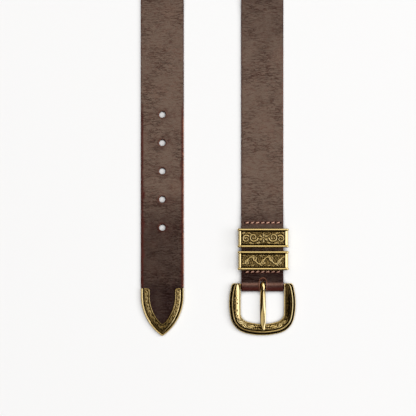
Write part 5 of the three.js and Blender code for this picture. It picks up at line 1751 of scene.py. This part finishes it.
def grain_material(settings):
    """The grain side: waxed and deep colours by tone, with its painted sheen and shade, wrinkles darkened by
    painted shade, burnished edges, and rubbed edges with painted highlights.
    """
    material, tree, shader = new_material("waxed_grain")
    place = attribute(tree, "place", "Vector")
    waxed = attribute(tree, "tone")
    amounts = {"Place": place, "Wrinkles": 1.0, "Pores": 1.0}
    grain = placed_group(tree, "Hide grain", hide_grain_group, amounts)
    uneven = swing(tree, noise(tree, place, 0.16, 4.0, 0.6), 0.14)
    contrast = ramp(tree, waxed, -0.4, 1.15)
    specked = swing(tree, noise(tree, stretched(tree, place, (0.85, 0.42, 0.8)), 1.0, 4.0, 0.7), contrast)
    tone = calc(tree, "ADD", calc(tree, "ADD", waxed, 0.06), calc(tree, "ADD", uneven, specked))
    # Deep in the wrinkles the colour is darkened, which is painted shade in them
    sunk = calc(tree, "MULTIPLY", grain["Depth"], 0.36, contrast)
    tone = calc(tree, "SUBTRACT", tone, sunk, clamp=True)
    # The waxed colour partly stands for a painted sheen
    color = blend(tree, tone, rgba(settings.deep_color), rgba(settings.waxed_and_sheen_color))
    color = blend(tree, grain["Depth"], color, (0.98, 0.8, 0.77, 1), "MULTIPLY")
    red_patch = ramp(tree, noise(tree, place, 0.06, 3.0), 0.5, 0.8)
    color = blend(tree, red_patch, color, (1.05, 0.97, 0.95, 1), "MULTIPLY")
    color = blend(tree, attribute(tree, "edge"), color, rgba(settings.edge_and_shade_color))
    # The rubbed colour is partly worn dye and partly painted highlights
    color = blend(tree, attribute(tree, "rub_and_highlight"), color, rgba(settings.rubbed_and_highlight_color))
    pits = placed_group(tree, "Stitch pits", stitch_pits_group, {"Place": place})
    color = blend(tree, pits["Row"], color, rgba(settings.edge_and_shade_color))
    inputs = {
        # The pricked holes are painted near black, which is painted shade in them
        "Base Color": blend(tree, pits["Pit"], color, (0.002, 0.001, 0.001, 1)),
        "Roughness": between(tree, tone, 0.34, 0.56),
        "Specular IOR Level": 0.08,
        "Coat Weight": attribute(tree, "polish"),
        "Coat Roughness": 0.25,
        "Normal": bumped(tree, grain["Height"], 1.0, settings.wrinkle_depth),
    }
    set_inputs(tree, shader, inputs)
    return material


def flesh_material(settings):
    """The rough back of the hide: short nap, darker in patches."""
    material, tree, shader = new_material("flesh_side")
    place = attribute(tree, "place", "Vector")
    amounts = {"Place": place, "Wrinkles": 0.35, "Pores": 1.6}
    grain = placed_group(tree, "Hide grain", hide_grain_group, amounts)
    nap = noise(tree, place, 2.4, 5.0, 0.7)
    cloud = calc(tree, "MULTIPLY", noise(tree, place, 0.09, 3.0), 0.5)
    share = calc(tree, "ADD", calc(tree, "MULTIPLY", nap, 0.5), cloud)
    dark, light = rgba(settings.flesh_color, 0.55), rgba(settings.flesh_color, 1.4)
    hide = blend(tree, ramp(tree, share, 0.35, 0.65), dark, light)
    inputs = {
        # The edge colour here also lays the painted shade under the slot
        "Base Color": blend(tree, attribute(tree, "edge"), hide, rgba(settings.edge_and_shade_color)),
        "Roughness": 0.92,
        "Sheen Weight": 0.08,
        "Normal": bumped(tree, calc(tree, "ADD", grain["Height"], nap), 1.0, 0.00025),
    }
    set_inputs(tree, shader, inputs)
    return material


def thread_material(settings):
    """Waxed thread with a fine twist."""
    material, tree, shader = new_material("waxed_thread")
    fibre = noise(tree, node(tree, "TexCoord", {})["Object"], 1800.0, 2.0)
    dark, light = rgba(settings.thread_color, 0.3), rgba(settings.thread_color)
    inputs = {
        "Base Color": blend(tree, ramp(tree, fibre, 0.35, 0.65), dark, light),
        "Roughness": 0.5,
        "Normal": bumped(tree, fibre, 0.6, 0.0001),
    }
    set_inputs(tree, shader, inputs)
    return material


def cast_material(name, settings, smooth_rough=0.17, skin=1.0, hollow=True):
    """Antiqued brass, with its hollows from the piece's own attribute where it has one."""
    material, tree, shader = new_material(name)
    finish = placed_group(
        tree,
        "Antiqued casting",
        cast_finish_group,
        {
            "Place": node(tree, "TexCoord", {})["Object"],
            "Hollow": attribute(tree, "hollow") if hollow else 0.0,
            "Bright": rgba(settings.brass_color),
            "Tarnish": rgba(settings.tarnish_color),
            "Dark": rgba(settings.antique_color),
            "Smooth": smooth_rough,
            "Rough": 0.6,
            "Skin": skin,
        },
    )
    inputs = {
        "Base Color": finish["Color"],
        "Metallic": 1.0,
        "Roughness": finish["Roughness"],
        "Normal": bumped(tree, finish["Height"], 0.5, 0.00006),
    }
    set_inputs(tree, shader, inputs)
    return material


def table_material(settings):
    """A pale, matt table that also gives even light, less of it in narrow places and on a thing's left."""
    material, tree, shader = new_material("pale_table")
    rightward = node(tree, "CombineXYZ", {"X": 0.55, "Z": 0.83})[0]
    reach = settings.shade_reach
    beside = node(tree, "AmbientOcclusion", {"Distance": reach, "Normal": rightward}, samples=12)["AO"]
    above = node(tree, "AmbientOcclusion", {"Distance": reach}, samples=8)["AO"]
    openness = calc(tree, "MULTIPLY", ramp(tree, beside, -0.7, 0.85), ramp(tree, above, 0.48, 0.64))
    inputs = {
        "Base Color": rgba(settings.table_color),
        "Roughness": 0.9,
        "Specular IOR Level": 0.1,
        "Emission Color": openness,
        "Emission Strength": settings.table_glow,
    }
    set_inputs(tree, shader, inputs)
    return material


# Operators


class BELT_OT_strap(bpy.types.Operator):
    """Make the leather strap with its fold, slot and punched holes"""

    bl_idname = "belt.strap"
    bl_label = "Strap"

    def execute(self, context):
        settings = context.scene.belt_leather
        places, quads, materials = strap_mesh()
        s, w, n = places.T
        tone, edge, rub_and_highlight = strap_tones(s, w)
        # The walls of the holes and the slot take the deep colour and some edge colour, which is painted
        # shade on them
        wall = np.abs(n) < course("thickness", s) / 2 - 0.2
        wall &= np.min(hole_distance(s, w), axis=0) < 0.05
        edge = np.where(wall, 0.3, edge)
        tone = np.where(wall, 0, tone)
        polish = 0.42 * bump(s - BAR_HIGHLIGHT_S, 1.2)
        piece = mesh_piece(
            "strap_leather",
            on_strap(s, w, n),
            quads,
            {"place": places, "tone": tone, "edge": edge, "rub_and_highlight": rub_and_highlight, "polish": polish},
            materials,
        )
        piece.data.materials.append(grain_material(settings))
        piece.data.materials.append(flesh_material(settings))
        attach(piece, "strap")
        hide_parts("strap")
        return {"FINISHED"}


class BELT_OT_stitches(bpy.types.Operator):
    """Make the two rows of stitches across the strap"""

    bl_idname = "belt.stitches"
    bl_label = "Stitches"

    def execute(self, context):
        piece = mesh_piece("stitches", *stitch_mesh())
        piece.data.materials.append(thread_material(context.scene.belt_leather))
        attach(piece, "strap")
        return {"FINISHED"}


class BELT_OT_buckle(bpy.types.Operator):
    """Make the buckle's frame with its bar"""

    bl_idname = "belt.buckle"
    bl_label = "Buckle frame"

    def execute(self, context):
        settings = context.scene.belt_brass
        points, quads, hollow = frame_mesh(settings.relief_height / MM)
        half_bar = INNER["half_width"] + BAR_OVERLAP
        bar_ends = [(STRAND_X + side * half_bar, 0, BAR_Z) for side in (-1, 1)]
        bar, bar_quads = closed_sweep(rod(*bar_ends, BAR_RADIUS))
        piece = mesh_piece(
            "buckle_frame_cast",
            np.concatenate([points, bar]),
            np.concatenate([quads, bar_quads + len(points)]),
            {"hollow": np.concatenate([hollow, np.ones(len(bar))])},
        )
        piece.data.materials.append(cast_material("cast_frame", settings))
        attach(piece, "buckle")
        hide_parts("buckle_frame")
        return {"FINISHED"}


class BELT_OT_tongue(bpy.types.Operator):
    """Make the buckle's tongue"""

    bl_idname = "belt.tongue"
    bl_label = "Tongue"

    def execute(self, context):
        settings = context.scene.belt_brass
        material = cast_material("cast_tongue", settings, smooth_rough=0.16, skin=0.3, hollow=False)
        piece = mesh_piece("buckle_tongue_cast", *tongue_mesh())
        piece.data.materials.append(material)
        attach(piece, "tongue")
        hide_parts("buckle_tongue")
        return {"FINISHED"}


class BELT_OT_keepers(bpy.types.Operator):
    """Make both keepers"""

    bl_idname = "belt.keepers"
    bl_label = "Keepers"

    def execute(self, context):
        settings = context.scene.belt_brass
        material = cast_material("cast_keeper", settings)
        for name, ornament in (("keeper_upper", flower_relief), ("keeper_lower", bold_vine_relief)):
            points, quads, hollow = keeper_mesh(KEEPER_Y[name], ornament, settings.relief_height / MM)
            piece = mesh_piece(f"{name}_cast", points, quads, {"hollow": hollow})
            piece.data.materials.append(material)
            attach(piece, "strap")
            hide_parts(name)
        return {"FINISHED"}


class BELT_OT_tip(bpy.types.Operator):
    """Make the pointed metal tip"""

    bl_idname = "belt.tip"
    bl_label = "Tip"

    def execute(self, context):
        settings = context.scene.belt_brass
        points, quads, hollow = tip_mesh(settings.relief_height / MM)
        piece = mesh_piece("belt_tip_cast", points, quads, {"hollow": hollow})
        piece.data.materials.append(cast_material("cast_tip", settings))
        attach(piece, "strap")
        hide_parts("belt_tip")
        return {"FINISHED"}


VIEW_WIDTH = 371.5  # of table that the photograph takes in
VIEW_CENTRE = (-3.8, 69.9)
SENSOR = 36
TABLE_REACH = 4.0  # metres, as the lights' offsets and sizes are

# Area lights: name, offset from the view's centre, size, watts, colour, and whether it only shows in what
# shines, or only lights what doesn't
LIGHTS = (
    ("soft", (0.2, 0.4, 3.6), (3.0, 3.0), 178, (1, 1, 1), False),
    ("key", (3.0, 0.0, 3.2), (2.0, 2.0), 68, (1, 1, 1), False),
    ("right_panel", (1.2, 0.0, 0.9), (2.4, 1.7), 34, (0.86, 0.93, 1.25), True),
    ("back_panel", (0.0, 1.1, 1.0), (2.4, 1.8), 22, (1, 1, 1), True),
    ("top_panel", (-0.22, 0.0, 2.4), (2.2, 1.3), 7.5, (1, 1, 1), True),
)


def area_light(target, name, offset, size, watts, color, mirrored):
    """An area light at an offset from the target, turned to face it."""
    data = bpy.data.lights.new(name, "AREA")
    data.shape = "RECTANGLE"
    data.size, data.size_y = size
    data.energy = watts
    data.color = color
    light = bpy.data.objects.new(name, data)
    light.location = target + np.array(offset)
    x, y, z = -np.array(offset) / np.linalg.norm(offset)
    light.rotation_euler = (math.acos(-z), 0, math.atan2(-x, y))
    light.visible_camera = False
    light.visible_glossy = mirrored
    light.visible_diffuse = not mirrored
    bpy.context.scene.collection.objects.link(light)


class BELT_OT_stage(bpy.types.Operator):
    """Set up the table, the lights and the camera"""

    bl_idname = "belt.stage"
    bl_label = "Stage"

    def execute(self, context):
        scene = context.scene
        settings = scene.belt_stage
        centre = (np.array([*VIEW_CENTRE, 0]) + LAYOUT_ORIGIN) * MM
        mesh = bpy.data.meshes.new("table")
        corners = [(TABLE_REACH * x, TABLE_REACH * y, 0) for x, y in ((-1, -1), (1, -1), (1, 1), (-1, 1))]
        mesh.from_pydata(corners, [], [(0, 1, 2, 3)])
        table = bpy.data.objects.new("table", mesh)
        scene.collection.objects.link(table)
        table.data.materials.append(table_material(settings))
        table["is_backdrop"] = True

        camera_data = bpy.data.cameras.new("camera")
        camera_data.sensor_width = SENSOR
        camera_data.lens = SENSOR * settings.camera_height / (VIEW_WIDTH * MM)
        camera_data.clip_end = 20
        camera = bpy.data.objects.new("camera", camera_data)
        camera.location = (centre[0], centre[1], settings.camera_height)
        scene.collection.objects.link(camera)
        scene.camera = camera

        for light in LIGHTS:
            area_light(centre, *light)
        world = bpy.data.worlds.new("studio")
        scene.world = world
        world.use_nodes = True
        world.node_tree.nodes["Background"].inputs["Color"].default_value = (0.045, 0.03, 0.015, 1)
        scene.view_settings.view_transform = "Standard"
        return {"FINISHED"}


class BELT_PT_panel(bpy.types.Panel):
    """The belt's pieces, in the order in which they are made"""

    bl_idname = "BELT_PT_panel"
    bl_label = "Belt"
    bl_space_type = "VIEW_3D"
    bl_region_type = "UI"
    bl_category = "Belt"

    def draw(self, context):
        layout = self.layout
        for group in ("belt_leather", "belt_brass", "belt_stage"):
            settings = getattr(context.scene, group)
            column = layout.column()
            for key in settings.__annotations__:
                column.prop(settings, key)
        for operator in OPERATORS:
            layout.operator(operator.bl_idname)


SETTINGS = {
    "belt_leather": BeltLeatherSettings,
    "belt_brass": BeltBrassSettings,
    "belt_stage": BeltStageSettings,
}
OPERATORS = (
    BELT_OT_strap,
    BELT_OT_stitches,
    BELT_OT_buckle,
    BELT_OT_tongue,
    BELT_OT_keepers,
    BELT_OT_tip,
    BELT_OT_stage,
)


def register():
    """Registers the settings, the operators and the panel."""
    for cls in (*SETTINGS.values(), *OPERATORS, BELT_PT_panel):
        bpy.utils.register_class(cls)
    for name, cls in SETTINGS.items():
        setattr(bpy.types.Scene, name, PointerProperty(type=cls))


def unregister():
    """Takes back what register did."""
    for name in SETTINGS:
        delattr(bpy.types.Scene, name)
    for cls in (BELT_PT_panel, *reversed(OPERATORS), *reversed(SETTINGS.values())):
        bpy.utils.unregister_class(cls)


def plain(box):
    """A box's corners as plain lists."""
    return [list(map(float, corner)) for corner in box]


def main():
    """Makes every piece and the stage, and works out the size of the CAD and of what is seen, without
    keeping it.
    """
    register()
    bpy.ops.belt.strap()
    bpy.ops.belt.stitches()
    bpy.ops.belt.buckle()
    bpy.ops.belt.tongue()
    bpy.ops.belt.keepers()
    bpy.ops.belt.tip()
    bpy.ops.belt.stage()
    {"cad": plain(CAD_BOX), "visual": plain(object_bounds())}


if __name__ == "__main__":
    main()
